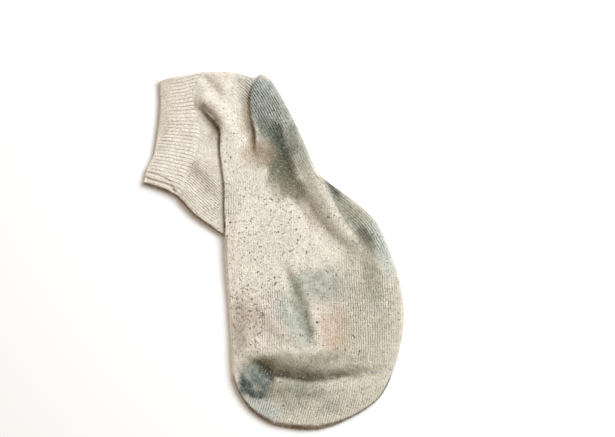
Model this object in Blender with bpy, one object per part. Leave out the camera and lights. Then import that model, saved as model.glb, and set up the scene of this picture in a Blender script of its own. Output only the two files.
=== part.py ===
"""A worn ankle sock, knitted as one tube and laid flat with its foot turned sole up over the leg.

The cloth is one wall all round: an upper and a lower sheet that lie on each other, joined along
both edges and at the toe, and open at the cuff. Sizes in the tables are millimetres. +Y points
from the toe to the heel, -X to the cuff, and the lower sheet rests on z = 0.
"""
import math
from collections import namedtuple

import bmesh
import bpy
import numpy as np

MM = 0.001

# The cloth.
UNDER_WALL = 1.6        # lower sheet
UPPER_WALL = 2.0        # upper sheet, where no fold thickens it
LEAST_GAP = 0.8         # between the two sheets
MOST_GAP = 3.2          # inside the fullest stretch of the foot
LEAST_HEIGHT = 3.9      # of the upper sheet at the bottom of a crease
RIM_HEIGHT = 2.3        # of the folded edge above the table
RIM_ROLL = 3.2          # how far in the upper sheet rounds down to that edge
RIM_UNDERCUT = 2.2      # how far in the lower sheet lifts to it
CUFF_LIFT = 1.9         # the cuff's lower corner stands this much clear of the table
CUFF_CORNER = (-69.0, 38.5)
CUFF_LIFT_REACH = 17.0

# The mesh.
RING_SPACING = 6.0      # between sections, along the outer edge
COLUMNS = 29            # faces across each sheet
INNER_SPACING = 9.0     # the hidden skin needs fewer sections

# One row for each section across the flattened tube. outer is its end on the side of the Achilles
# tendon, the heel and the right edge, inner its end on the side of the shin and the left edge.
# bends says how far it bows towards the toe at five places on the way, and rise is the height of
# the upper sheet there.
Section = namedtuple("Section", "name outer inner bends rise")
BEND_PLACES = (0.18, 0.34, 0.46, 0.70, 0.88)
STRAIGHT = (0.0, 0.0, 0.0, 0.0, 0.0)
SECTIONS = (
    Section("mouth", (-73.0, 109.6), (-83.3, 43.6), (2.6, 3.6, 4.0, 4.2, 0.2), 4.6),
    Section("welt", (-67.0, 111.4), (-76.6, 41.7), (2.0, 3.2, 3.5, 3.8, 0.6), 5.0),
    Section("rib", (-57.6, 113.2), (-69.4, 39.1), (0.8, 3.6, 4.6, 4.2, 1.0), 5.2),
    Section("rib end", (-46.4, 115.4), (-61.9, 35.2), (-3.8, 2.4, 6.4, 5.8, 2.6), 5.2),
    Section("leg", (-43.4, 115.2), (-50.5, 22.8), (-7.0, 1.6, 6.0, 6.9, 4.2), 5.0),
    Section("ankle fold", (-40.0, 115.2), (-31.0, 8.9), (-11.9, 5.4, 3.0, 4.3, 2.0), 5.6),
    Section("ankle", (-28.3, 115.4), (-30.9, 7.2), (-5.6, 4.4, 4.0, 4.9, 3.0), 6.6),
    Section("heel notch", (-12.0, 111.5), (-30.9, 5.6), (0.0, 1.0, 1.8, 2.6, 2.3), 6.8),
    Section("heel tip", (-7.8, 113.5), (-30.9, 4.2), (0.0, 0.8, 1.4, 2.0, 1.8), 6.8),
    Section("heel corner", (-2.6, 111.0), (-30.9, 2.4), (0.0, 0.6, 1.0, 1.4, 1.2), 6.6),
    Section("heel side", (8.8, 93.0), (-30.8, -2.2), (0.0, 0.2, 0.3, 0.4, 0.3), 6.6),
    Section("heel end", (19.2, 71.6), (-30.6, -7.5), STRAIGHT, 6.6),
    Section("arch notch", (29.0, 50.6), (-30.3, -14.0), STRAIGHT, 6.4),
    Section("arch", (49.7, 34.1), (-29.7, -22.0), STRAIGHT, 6.2),
    Section("instep", (65.6, 19.5), (-28.9, -30.0), STRAIGHT, 6.2),
    Section("waist", (75.0, 0.0), (-28.4, -39.0), STRAIGHT, 6.3),
    Section("ball", (82.0, -22.4), (-27.6, -48.0), STRAIGHT, 6.6),
    Section("wide ball", (84.2, -42.0), (-27.1, -58.0), STRAIGHT, 7.0),
    Section("toe joint", (82.0, -60.0), (-26.6, -68.5), STRAIGHT, 7.2),
    Section("toe crease", (77.0, -78.0), (-25.8, -80.6), STRAIGHT, 6.0),
    Section("toes", (68.8, -93.8), (-20.6, -93.8), STRAIGHT, 5.2),
    Section("toe round", (55.0, -104.4), (-12.2, -103.8), STRAIGHT, 4.8),
    Section("toe end", (38.6, -111.8), (0.6, -111.4), (0.6, 1.2, 1.5, 1.0, 0.4), 4.5),
    Section("toe seam", (29.4, -114.2), (11.0, -113.6), (0.3, 0.5, 0.6, 0.5, 0.2), 4.2),
)

# The foot lies over the leg along the ankle fold. One row for each section through that fold,
# from the leg to the foot: along is measured towards the foot, and up is a share of the step from
# the leg's height to the foot's. Where the fold isn't turned over, open_along is used instead.
FoldRow = namedtuple("FoldRow", "along up open_along")
ANKLE_FOLD = (
    FoldRow(-2.6, -0.10, -0.75),
    FoldRow(1.7, -0.20, -0.50),
    FoldRow(2.0, 0.10, -0.25),
    FoldRow(-0.9, 0.20, 0.0),
    FoldRow(-1.7, 0.62, 0.25),
    FoldRow(-0.8, 1.04, 0.50),
    FoldRow(1.5, 1.12, 0.60),
)
FOLD_TIP = 0.19         # place on the section where the fold starts
FOLD_FULL = 0.34        # place where it is fully turned over
FOLD_END = 0.78         # from here to the inner corner it opens out again
LEG_HEIGHT = 4.7
LEG_REACH = 18.0        # how far from the fold the leg keeps that height
FOOT_HEIGHT = 7.5
FOOT_REACH = 45.0

# The main creases of the upper sheet. path is walked from start to end, height is positive for a
# ridge and negative for a trough, and left and right are its half widths on either hand. It fades
# over the first and the last few millimetres of the path.
LEAST_WIDTH = 3.0       # narrower half widths would fall between the sections
Crease = namedtuple("Crease", "name path height left right fades")
CREASES = (
    Crease(
        "heel tongue",
        ((-6, 113), (-10.8, 105), (-12.2, 97), (-11.6, 88), (-9.9, 80.5), (-8.7, 75), (-8.6, 70),
         (-9.8, 65), (-11.6, 59)),
        4.2, 14, 1.4, (9, 12),
    ),
    Crease(
        "beside tongue",
        ((-15, 108), (-20, 99), (-19.8, 88), (-17.5, 76), (-17, 66)),
        -1.5, 2.2, 5, (8, 14),
    ),
    Crease(
        "arch ridge",
        ((7, 92), (14, 76), (20, 63), (24, 54.9), (28.4, 46.9), (32.1, 38.2), (35.4, 30.7),
         (39.7, 22.1), (44, 15.6), (48.3, 10.2), (52.6, 4.8), (55.6, -1.5), (57.5, -9)),
        3.9, 1.4, 6.5, (28, 20),
    ),
    Crease(
        "outside ridge",
        ((30, 54), (34, 45), (37.2, 38), (40.6, 31.5), (44.8, 23.4), (49, 17), (53.4, 11.4), (58, 5),
         (61, -4), (63, -16)),
        -3.2, 5.5, 1.7, (6, 22),
    ),
    Crease(
        "inside ridge",
        ((3, 82), (5.5, 66), (9, 52), (17, 39), (26, 25), (34.4, 13.6), (44, 4), (53, -2)),
        -2.2, 4, 4.5, (14, 14),
    ),
    Crease(
        "middle of sole",
        ((5, -2), (9, -14), (14.2, -26), (19, -39), (22.5, -52), (25, -62)),
        -2.1, 2.6, 5, (14, 16),
    ),
    Crease(
        "toe hinge",
        ((-12.4, -68.6), (-8.6, -72.6), (-5, -75.6), (0, -78), (5, -79.4), (17, -81), (25, -82.8),
         (33, -83.2), (41, -81.6), (49, -79.6), (57, -78), (65, -76.6)),
        -4.2, 6.8, 2.4, (5, 26),
    ),
    Crease(
        "above toe hinge",
        ((-14, -58), (-4, -65), (8, -69), (24, -71), (40, -71.5), (54, -70)),
        1.9, 6, 5, (12, 18),
    ),
    Crease(
        "toe cap roll",
        ((-6, -81), (6, -84.5), (20, -86.5), (34, -87.2), (48, -84.4), (60, -81)),
        0.9, 2.2, 6, (8, 20),
    ),
    Crease("second hinge", ((44, -73), (50, -72), (57, -70), (63, -68)), -1.2, 2, 4, (6, 8)),
    Crease("toe pucker", ((38.4, -58), (38.8, -66), (38.4, -73)), -0.9, 1.6, 1.6, (5, 4)),
    Crease("leg hollow", ((-56, 58), (-50, 51), (-43.5, 43), (-37, 33)), -1.5, 4, 4, (6, 8)),
    Crease("leg swell", ((-62, 44), (-54, 37), (-45, 28)), 1.0, 4, 4, (6, 8)),
    Crease(
        "dart hollow",
        ((-49.6, 95), (-46, 89.5), (-42, 84.5), (-38.6, 79), (-37.4, 70)),
        -2.4, 1.8, 5.0, (4, 10),
    ),
    Crease(
        "ankle roll",
        ((-50, 101), (-43.5, 96.5), (-36, 89), (-30.5, 81), (-30, 70)),
        3.4, 4.8, 3.4, (8, 12),
    ),
    Crease("ankle hollow", ((-45, 113), (-39.5, 107), (-34.6, 101), (-31.4, 94)), -2.4, 3.2, 2.6, (4, 7)),
    Crease("above ankle", ((-36, 112), (-30, 104), (-26, 92)), 0.8, 5, 4, (6, 10)),
    Crease(
        "left slant",
        ((-16, -36), (-8.1, -44), (-2.6, -51.5), (4.5, -57.4), (11, -61.3), (18, -65)),
        -1.5, 3.2, 4, (8, 8),
    ),
    Crease("left swell", ((-24, -50), (-13, -56), (-3, -61.5), (8, -66)), 1.1, 5, 5, (6, 8)),
    Crease("left dimple", ((-25, -36), (-18, -41), (-9, -48)), -0.9, 4, 4, (5, 6)),
    Crease(
        "cuff fold",
        ((-88, 48.4), (-83.4, 47.4), (-74.5, 44.8), (-68.9, 43.0), (-64.4, 40.6), (-62.4, 37)),
        -2.0, 0.9, 1.3, (1, 3),
    ),
    Crease(
        "cuff groove",
        ((-88, 52), (-83, 50.9), (-75.6, 48.9), (-68.1, 46.0), (-64, 42.6)),
        -1.3, 0.7, 0.8, (1, 5),
    ),
)


def clear_scene():
    for thing in list(bpy.data.objects):
        bpy.data.objects.remove(thing, do_unlink=True)


def curve_through(points, places):
    """A smooth curve through points that never swings past them. places are counted in points."""
    points = np.asarray(points, float)
    places = np.clip(np.asarray(places, float), 0, len(points) - 1)
    steps = np.diff(points, axis=0)
    product, total = steps[:-1] * steps[1:], steps[:-1] + steps[1:]
    slopes = np.where(product > 0, 2 * product / np.where(product > 0, total, 1), 0)
    slopes = np.vstack((steps[:1], slopes, steps[-1:]))
    start = np.minimum(places.astype(int), len(points) - 2)
    step = (places - start)[:, None]
    turned = step * step * (3 - 2 * step)
    return (
        points[start] * (1 - turned) + points[start + 1] * turned
        + slopes[start] * step * (1 - step) ** 2
        - slopes[start + 1] * step ** 2 * (1 - step)
    )


def ease(share):
    share = np.clip(share, 0, 1)
    return share * share * (3 - 2 * share)


def section_places(spacing):
    """Where sections are cut, counted in rows of SECTIONS, so that the outer edge is even."""
    places = []
    for row in range(len(SECTIONS) - 1):
        length = math.dist(SECTIONS[row].outer, SECTIONS[row + 1].outer)
        count = max(1, round(length / spacing))
        places.extend(row + k / count for k in range(count))
    return places + [len(SECTIONS) - 1]


def columns():
    """Places across a sheet, from the outer edge (0) to the inner edge (1), closer at the edges."""
    even = np.linspace(0, 1, COLUMNS + 1)
    return even - 0.115 * np.sin(2 * math.pi * even)


def section_points(place, across):
    """The plan of one section: its points from the outer edge to the inner one, and its rise."""
    rows = [(*row.outer, *row.inner, row.rise, *row.bends) for row in SECTIONS]
    outer_x, outer_y, inner_x, inner_y, rise, *bends = curve_through(rows, [place])[0]
    chord = np.array((inner_x - outer_x, inner_y - outer_y))
    sideways = np.array((-chord[1], chord[0])) / np.hypot(*chord)
    knots = np.linspace(0, 1, 51)
    bow = np.interp(knots, (0, *BEND_PLACES, 1), (0, *bends, 0))
    bow = np.convolve(np.pad(bow, 2, mode="reflect", reflect_type="odd"), np.full(5, 1 / 5), mode="valid")
    bow = np.interp(across, knots, bow)
    plan = np.array((outer_x, outer_y)) + across[:, None] * chord + bow[:, None] * sideways
    return plan, sideways, rise


def outline():
    """The folded edge all round, from the mouth's outer end past the toe to its inner end."""
    places = section_places(2.0)
    ends = [section_points(place, np.array((0.0, 0.5, 1.0)))[0] for place in places]
    toe = section_points(places[-1], columns())[0]
    return np.vstack(([e[0] for e in ends], toe[1:-1], [e[2] for e in reversed(ends)]))


def distance_to_path(points, path):
    """For each point: distance to a polyline, share of the way along it, and the side (1 is left)."""
    starts = path[:-1]
    runs = path[1:] - starts
    offsets = points[:, None, :] - starts[None]
    along = np.clip((offsets * runs).sum(2) / (runs ** 2).sum(1), 0, 1)
    gaps = offsets - along[..., None] * runs
    distances = np.hypot(gaps[..., 0], gaps[..., 1])
    nearest = distances.argmin(1)
    rows = np.arange(len(points))
    share = (nearest + along[rows, nearest]) / len(starts)
    run = runs[nearest]
    offset = offsets[rows, nearest]
    side = np.where(run[:, 0] * offset[:, 1] - run[:, 1] * offset[:, 0] > 0, 1, -1)
    return distances[rows, nearest], share, side


def crease_height(points):
    total = np.zeros(len(points))
    for crease in CREASES:
        places = np.linspace(0, len(crease.path) - 1, 8 * len(crease.path))
        path = curve_through(crease.path, places)
        distance, share, side = distance_to_path(points, path)
        width = np.maximum(np.where(side > 0, crease.left, crease.right), LEAST_WIDTH)
        length = np.hypot(*np.diff(path, axis=0).T).sum()
        fade = ease(share * length / crease.fades[0]) * ease((1 - share) * length / crease.fades[1])
        total += crease.height * fade * np.exp(-(distance / width) ** 2)
    return total


def edge_roll(distance, reach):
    """0 at the folded edge, 1 where the sheet lies level, round between."""
    inward = np.clip(distance / reach, 0, 1)
    return np.sqrt(1 - (1 - inward) ** 2)


def cuff_lift(plan):
    """How far the table is below the lower sheet round the cuff's lower corner."""
    return CUFF_LIFT * np.exp(-(np.hypot(*(plan - np.array(CUFF_CORNER)).T) / CUFF_LIFT_REACH) ** 2)


def fold_section(plan, sideways, rise, across, row):
    """One section through the ankle fold: the upper sheet's plan and height, and the lower sheet's
    plan. The foot steps up from the leg everywhere past the fold's tip, and it is turned over the
    leg between FOLD_FULL and FOLD_END. The lower sheet runs straight on under the fold."""
    stepped = ease((across - FOLD_TIP) / (FOLD_FULL - FOLD_TIP))
    turned = stepped * ease((1 - across) / (1 - FOLD_END))
    first, last = ANKLE_FOLD[0], ANKLE_FOLD[-1]
    passed = (row.open_along - first.open_along) / (last.open_along - first.open_along)
    straight = first.along + passed * (last.along - first.along)
    corner = np.maximum(ease((1 - across) / 0.03), 0.25)
    upper = (turned * row.along + (1 - turned) * row.open_along) * corner
    lower = (turned * straight + (1 - turned) * row.open_along) * corner
    step = FOOT_HEIGHT - LEG_HEIGHT
    height = (
        turned * (LEG_HEIGHT + row.up * step)
        + (stepped - turned) * (LEG_HEIGHT + ease(passed) * step)
        + (1 - stepped) * rise
    )
    return plan + upper[:, None] * sideways, height, plan + lower[:, None] * sideways


def beside_fold(plan, sideways, rise, across, past_fold, fold_line):
    """A section near the ankle fold makes room for it and keeps the height on its side of it."""
    stepped = ease((across - FOLD_TIP) / (FOLD_FULL - FOLD_TIP))
    turned = stepped * ease((1 - across) / (1 - FOLD_END))
    row, level, reach = ANKLE_FOLD[0], LEG_HEIGHT, LEG_REACH
    if past_fold > 0:
        row, level, reach = ANKLE_FOLD[-1], FOOT_HEIGHT, FOOT_REACH
    room = turned * row.along * max(0, 1 - abs(past_fold))
    room += (1 - turned) * row.open_along * max(0, 1 - 2 * abs(past_fold))
    room *= np.maximum(ease((1 - across) / 0.03), 0.25)
    plan = plan + room[:, None] * sideways
    kept = stepped * ease(1 - distance_to_path(plan, fold_line)[0] / reach)
    return plan, rise + kept * (level - rise), plan


def outer_sections():
    """Every section of the outer skin: the upper sheet's plan and height, the lower's plan."""
    across = columns()
    fold_place = next(i for i, row in enumerate(SECTIONS) if row.name == "ankle fold")
    fold_line = section_points(fold_place, np.linspace(0, 1, 60))[0]
    rings = []
    for place in section_places(RING_SPACING):
        plan, sideways, rise = section_points(place, across)
        if place == fold_place:
            rings += [fold_section(plan, sideways, rise, across, row) for row in ANKLE_FOLD]
        else:
            rings.append(beside_fold(plan, sideways, rise, across, place - fold_place, fold_line))
    return rings


def outer_skin(edge):
    """Rings of points all round the tube: the upper sheet out to in, the lower sheet back."""
    skin = []
    for plan, height, under_plan in outer_sections():
        distance, _, _ = distance_to_path(plan, edge)
        under_distance, _, _ = distance_to_path(under_plan, edge)
        height = np.maximum(height + crease_height(plan), LEAST_HEIGHT)
        rim = RIM_HEIGHT + cuff_lift(plan)
        upper = rim + (height - rim) * edge_roll(distance, RIM_ROLL)
        raised = cuff_lift(under_plan)
        lower = (RIM_HEIGHT + raised) * (1 - edge_roll(under_distance, RIM_UNDERCUT + 2 * raised))
        ring = [(*p, z) for p, z in zip(plan, upper)]
        ring += [(*p, z) for p, z in zip(under_plan[-2:0:-1], lower[-2:0:-1])]
        skin.append(ring)
    # The last section lies on the folded edge of the toe, where the two sheets are one.
    skin[-1] = [(x, y, RIM_HEIGHT) for x, y, _ in skin[-1]]
    return skin


def inner_skin(edge):
    """The hollow between the sheets, from the mouth to just inside the toe."""
    across = columns()
    places = [p for p in section_places(INNER_SPACING) if p < len(SECTIONS) - 1.5]
    rings = []
    for place in places:
        plan, sideways, rise = section_points(place, across)
        width = np.hypot(*(plan[-1] - plan[0]))
        inset = UPPER_WALL / width
        plan, sideways, rise = section_points(place, inset + across * (1 - 2 * inset))
        distance, _, _ = distance_to_path(plan, edge)
        floor = UNDER_WALL
        nearby = [crease_height(plan + np.array((x, y))) for x in (-3, 0, 3) for y in (-3, 0, 3)]
        level = rise + np.minimum(np.min(nearby, axis=0), 0)
        roof = np.clip(level - UPPER_WALL, floor + LEAST_GAP, floor + MOST_GAP)
        middle = floor + LEAST_GAP / 2
        roll = edge_roll(np.maximum(distance - UPPER_WALL, 0), RIM_ROLL)
        upper = middle + (roof - middle) * roll
        lower = middle + (floor - middle) * edge_roll(np.maximum(distance - UPPER_WALL, 0), 1.0)
        upper[0] = upper[-1] = lower[0] = lower[-1] = middle
        upper[1:-1] = np.maximum(upper[1:-1], middle + 0.15)
        lower[1:-1] = np.minimum(lower[1:-1], middle - 0.15)
        ring = [(*p, z) for p, z in zip(plan, upper)]
        ring += [(*p, z) for p, z in zip(plan[-2:0:-1], lower[-2:0:-1])]
        rings.append(ring)
    return rings


def loft(mesh, rings, flip):
    """Adds faces between neighbouring rings of vertices."""
    for near, far in zip(rings, rings[1:]):
        for k in range(len(near)):
            following = (k + 1) % len(near)
            corners = [near[k], near[following], far[following], far[k]]
            mesh.faces.new(corners[::-1] if flip else corners)


def knit_cloth():
    cloth = bpy.data.materials.new("undyed cotton knit")
    cloth.use_nodes = True
    shader = cloth.node_tree.nodes["Principled BSDF"]
    shader.inputs["Base Color"].default_value = (0.66, 0.60, 0.50, 1)
    shader.inputs["Roughness"].default_value = 0.95
    shader.inputs["Metallic"].default_value = 0.0
    return cloth


def make_sock(collection):
    edge = outline()
    mesh = bmesh.new()
    outside = [[mesh.verts.new(p) for p in ring] for ring in outer_skin(edge)]
    inside = [[mesh.verts.new(p) for p in ring] for ring in inner_skin(edge)]
    loft(mesh, outside, flip=False)
    loft(mesh, inside, flip=True)
    loft(mesh, [inside[0], outside[0]], flip=False)
    mesh.faces.new(inside[-1][::-1])
    # The toe's upper and lower sheets meet in one line.
    bmesh.ops.remove_doubles(mesh, verts=outside[-1], dist=0.0001)
    bmesh.ops.recalc_face_normals(mesh, faces=mesh.faces)
    bmesh.ops.triangulate(mesh, faces=mesh.faces)

    # The origin is under the middle of the sock, on the table.
    places = np.array([v.co for v in mesh.verts])
    middle = (places.min(0) + places.max(0)) / 2
    for v in mesh.verts:
        v.co = ((v.co.x - middle[0]) * MM, (v.co.y - middle[1]) * MM, v.co.z * MM)

    data = bpy.data.meshes.new("sock")
    mesh.to_mesh(data)
    mesh.free()
    data.materials.append(knit_cloth())
    data.shade_smooth()
    collection.objects.link(bpy.data.objects.new("sock", data))


clear_scene()
sock_parts = bpy.data.collections.new("ankle sock")
bpy.context.scene.collection.children.link(sock_parts)
make_sock(sock_parts)
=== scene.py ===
"""A worn ankle sock laid flat, its foot turned sole up over the leg. Tables are in millimetres."""
import math
from collections import namedtuple

import bmesh
import bpy
import numpy as np
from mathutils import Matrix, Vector, noise


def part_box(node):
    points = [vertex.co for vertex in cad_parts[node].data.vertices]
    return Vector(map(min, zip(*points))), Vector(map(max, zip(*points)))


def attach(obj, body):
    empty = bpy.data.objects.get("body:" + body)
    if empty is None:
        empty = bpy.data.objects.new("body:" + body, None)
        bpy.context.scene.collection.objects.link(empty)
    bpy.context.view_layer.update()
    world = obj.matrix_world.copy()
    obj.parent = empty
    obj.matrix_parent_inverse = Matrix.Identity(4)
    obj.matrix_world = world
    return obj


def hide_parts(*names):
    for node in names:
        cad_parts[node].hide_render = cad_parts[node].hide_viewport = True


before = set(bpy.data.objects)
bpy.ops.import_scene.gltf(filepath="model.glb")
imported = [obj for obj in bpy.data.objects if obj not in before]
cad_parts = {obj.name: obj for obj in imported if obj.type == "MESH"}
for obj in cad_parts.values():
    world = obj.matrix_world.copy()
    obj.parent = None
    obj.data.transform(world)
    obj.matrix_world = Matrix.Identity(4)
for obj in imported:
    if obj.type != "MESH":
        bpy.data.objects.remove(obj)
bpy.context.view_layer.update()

MM = 0.001
scene = bpy.context.scene

# ---------------------------------------------------------------------------------------------
# The studio: a white table, a large soft light beyond the heel's right side and a white room around.
# The camera looks straight down from about a metre, with the sock left of and below the middle.
# ---------------------------------------------------------------------------------------------
VIEW_WIDTH = 396.8 * MM
VIEW_CENTRE = (21.7 * MM, 20.6 * MM)
LENS = 85.0
SENSOR = 36.0
TABLE_SIZE = 4.0
TABLE_COLOUR = (0.98, 0.975, 0.97, 1)
KEY_PLACE = (0.50, 0.44, 0.80)
KEY_SIZE = 0.65
KEY_POWER = 12.2
KEY_COLOUR = (0.84, 0.91, 1.0)
ROOM_LIGHT = 0.50
ROOM_COLOUR = (1.0, 0.87, 0.72)

camera = bpy.data.objects.new("camera", bpy.data.cameras.new("camera"))
camera.data.lens = LENS
camera.data.sensor_width = SENSOR
camera.location = (*VIEW_CENTRE, VIEW_WIDTH * LENS / SENSOR)
scene.collection.objects.link(camera)
scene.camera = camera

key = bpy.data.objects.new("key light", bpy.data.lights.new("key light", "AREA"))
key.data.shape = "DISK"
key.data.size = KEY_SIZE
key.data.energy = KEY_POWER
key.data.color = KEY_COLOUR
key.location = KEY_PLACE
key.rotation_euler = (-Vector(KEY_PLACE)).to_track_quat("-Z", "Y").to_euler()
scene.collection.objects.link(key)

room = bpy.data.worlds.new("white room")
room.use_nodes = True
glow = room.node_tree.nodes["Background"].inputs
glow["Color"].default_value = (*ROOM_COLOUR, 1)
glow["Strength"].default_value = ROOM_LIGHT
scene.world = room
scene.view_settings.view_transform = "Standard"

table_mesh = bmesh.new()
bmesh.ops.create_grid(table_mesh, x_segments=2, y_segments=2, size=TABLE_SIZE / 2)
table_top = bpy.data.objects.new("table", bpy.data.meshes.new("table"))
table_mesh.to_mesh(table_top.data)
table_mesh.free()
scene.collection.objects.link(table_top)
table_paint = bpy.data.materials.new("white table")
table_paint.use_nodes = True
coat = table_paint.node_tree.nodes["Principled BSDF"].inputs
for label, value in (("Base Color", TABLE_COLOUR), ("Roughness", 0.9), ("Specular IOR Level", 0.0)):
    coat[label].default_value = value
table_top.data.materials.append(table_paint)

# ---------------------------------------------------------------------------------------------
# Leg, heel and foot: one tube of plain cotton jersey, knitted on from the cuff. Laid flat, it is an
# upper and a lower sheet with rolled edges. Its lie is worked out from sections across the tube.
# ---------------------------------------------------------------------------------------------
# outer is a section's end on the side of the Achilles tendon, heel and right edge, inner its end on
# the side of the shin and left edge. bends bow it towards the toe at five places, rise is its height.
Section = namedtuple("Section", "name outer inner bends rise")
BEND_PLACES = (0.18, 0.34, 0.46, 0.70, 0.88)
STRAIGHT = (0.0, 0.0, 0.0, 0.0, 0.0)
SECTIONS = (
    Section("mouth", (-73.0, 109.6), (-83.3, 43.6), (2.6, 3.6, 4.0, 4.2, 0.2), 4.6),
    Section("welt", (-67.0, 111.4), (-76.6, 41.7), (2.0, 3.2, 3.5, 3.8, 0.6), 5.0),
    Section("rib", (-57.6, 113.2), (-69.4, 39.1), (0.8, 3.6, 4.6, 4.2, 1.0), 5.2),
    Section("rib end", (-46.4, 115.4), (-61.9, 35.2), (-3.8, 2.4, 6.4, 5.8, 2.6), 5.2),
    Section("leg", (-43.4, 115.2), (-50.5, 22.8), (-7.0, 1.6, 6.0, 6.9, 4.2), 5.0),
    Section("ankle fold", (-40.0, 115.2), (-31.0, 8.9), (-11.9, 5.4, 3.0, 4.3, 2.0), 5.6),
    Section("ankle", (-28.3, 115.4), (-30.9, 7.2), (-5.6, 4.4, 4.0, 4.9, 3.0), 6.6),
    Section("heel notch", (-12.0, 111.5), (-30.9, 5.6), (0.0, 1.0, 1.8, 2.6, 2.3), 6.8),
    Section("heel tip", (-7.8, 113.5), (-30.9, 4.2), (0.0, 0.8, 1.4, 2.0, 1.8), 6.8),
    Section("heel corner", (-2.6, 111.0), (-30.9, 2.4), (0.0, 0.6, 1.0, 1.4, 1.2), 6.6),
    Section("heel side", (8.8, 93.0), (-30.8, -2.2), (0.0, 0.2, 0.3, 0.4, 0.3), 6.6),
    Section("heel end", (19.2, 71.6), (-30.6, -7.5), STRAIGHT, 6.6),
    Section("arch notch", (29.0, 50.6), (-30.3, -14.0), STRAIGHT, 6.4),
    Section("arch", (49.7, 34.1), (-29.7, -22.0), STRAIGHT, 6.2),
    Section("instep", (65.6, 19.5), (-28.9, -30.0), STRAIGHT, 6.2),
    Section("waist", (75.0, 0.0), (-28.4, -39.0), STRAIGHT, 6.3),
    Section("ball", (82.0, -22.4), (-27.6, -48.0), STRAIGHT, 6.6),
    Section("wide ball", (84.2, -42.0), (-27.1, -58.0), STRAIGHT, 7.0),
    Section("toe joint", (82.0, -60.0), (-26.6, -68.5), STRAIGHT, 7.2),
    Section("toe crease", (77.0, -78.0), (-25.8, -80.6), STRAIGHT, 6.0),
    Section("toes", (68.8, -93.8), (-20.6, -93.8), STRAIGHT, 5.2),
    Section("toe round", (55.0, -104.4), (-12.2, -103.8), STRAIGHT, 4.8),
    Section("toe end", (38.6, -111.8), (0.6, -111.4), (0.6, 1.2, 1.5, 1.0, 0.4), 4.5),
    Section("toe seam", (29.4, -114.2), (11.0, -113.6), (0.3, 0.5, 0.6, 0.5, 0.2), 4.2),
)
ANKLE_FOLD_PLACE = 5
TOE_SEAM_PLACE = len(SECTIONS) - 1
BOW_SMOOTHING = 5       # knots of a section's bow that are averaged

# Rows through the ankle fold, from the leg to the foot that lies over it. along is measured towards
# the foot, up is a share of the step between them, open_along serves where it isn't turned over.
FoldRow = namedtuple("FoldRow", "along up open_along")
ANKLE_FOLD = (
    FoldRow(-2.6, -0.10, -0.75),
    FoldRow(1.7, -0.20, -0.50),
    FoldRow(2.0, 0.10, -0.25),
    FoldRow(-0.9, 0.20, 0.0),
    FoldRow(-1.7, 0.62, 0.25),
    FoldRow(-0.8, 1.04, 0.50),
    FoldRow(1.5, 1.12, 0.60),
)
FOLD_TIP = 0.19
FOLD_FULL = 0.34
FOLD_END = 0.78
LEG_REACH = 18.0
FOOT_REACH = 45.0
LEG_HEIGHT = 4.7
FOOT_HEIGHT = 7.5
FOLD_RINGS = 34
FOLD_CORNER = 0.03      # across the inner corner, where the fold is tighter
CORNER_LEAST = 0.25

OUTLINE_SPACING = 1.5
LEAST_HEIGHT = 3.1      # of the upper sheet, at the bottom of a crease
EDGE_CROWDING = 0.115   # how much closer the columns are at the folded edges
RIM_HEIGHT = 2.3        # the folded edge's height, where the sheets meet
RIM_ROLL = 2.4
RIM_UNDERCUT = 2.2
LIP = 1.1               # the lower sheet's edge, painted dark brown as contact shadow and dirt, shows this much past the upper's
LIP_REACH = 1.4
CUFF_LIFT = 1.5         # the lower edge of the cuff and leg stands this much clear of the table
LIFTED_EDGE = ((-83, 43), (-69, 38.5), (-57, 28), (-46, 18), (-36, 9))
CUFF_LIFT_REACH = 13.0
# Soft swells of the upper sheet.
Swell = namedtuple("Swell", "height size seed")
SWELLS = (Swell(0.42, 27, 3.1), Swell(0.22, 11, 8.4), Swell(0.09, 4.2, 1.7))

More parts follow.
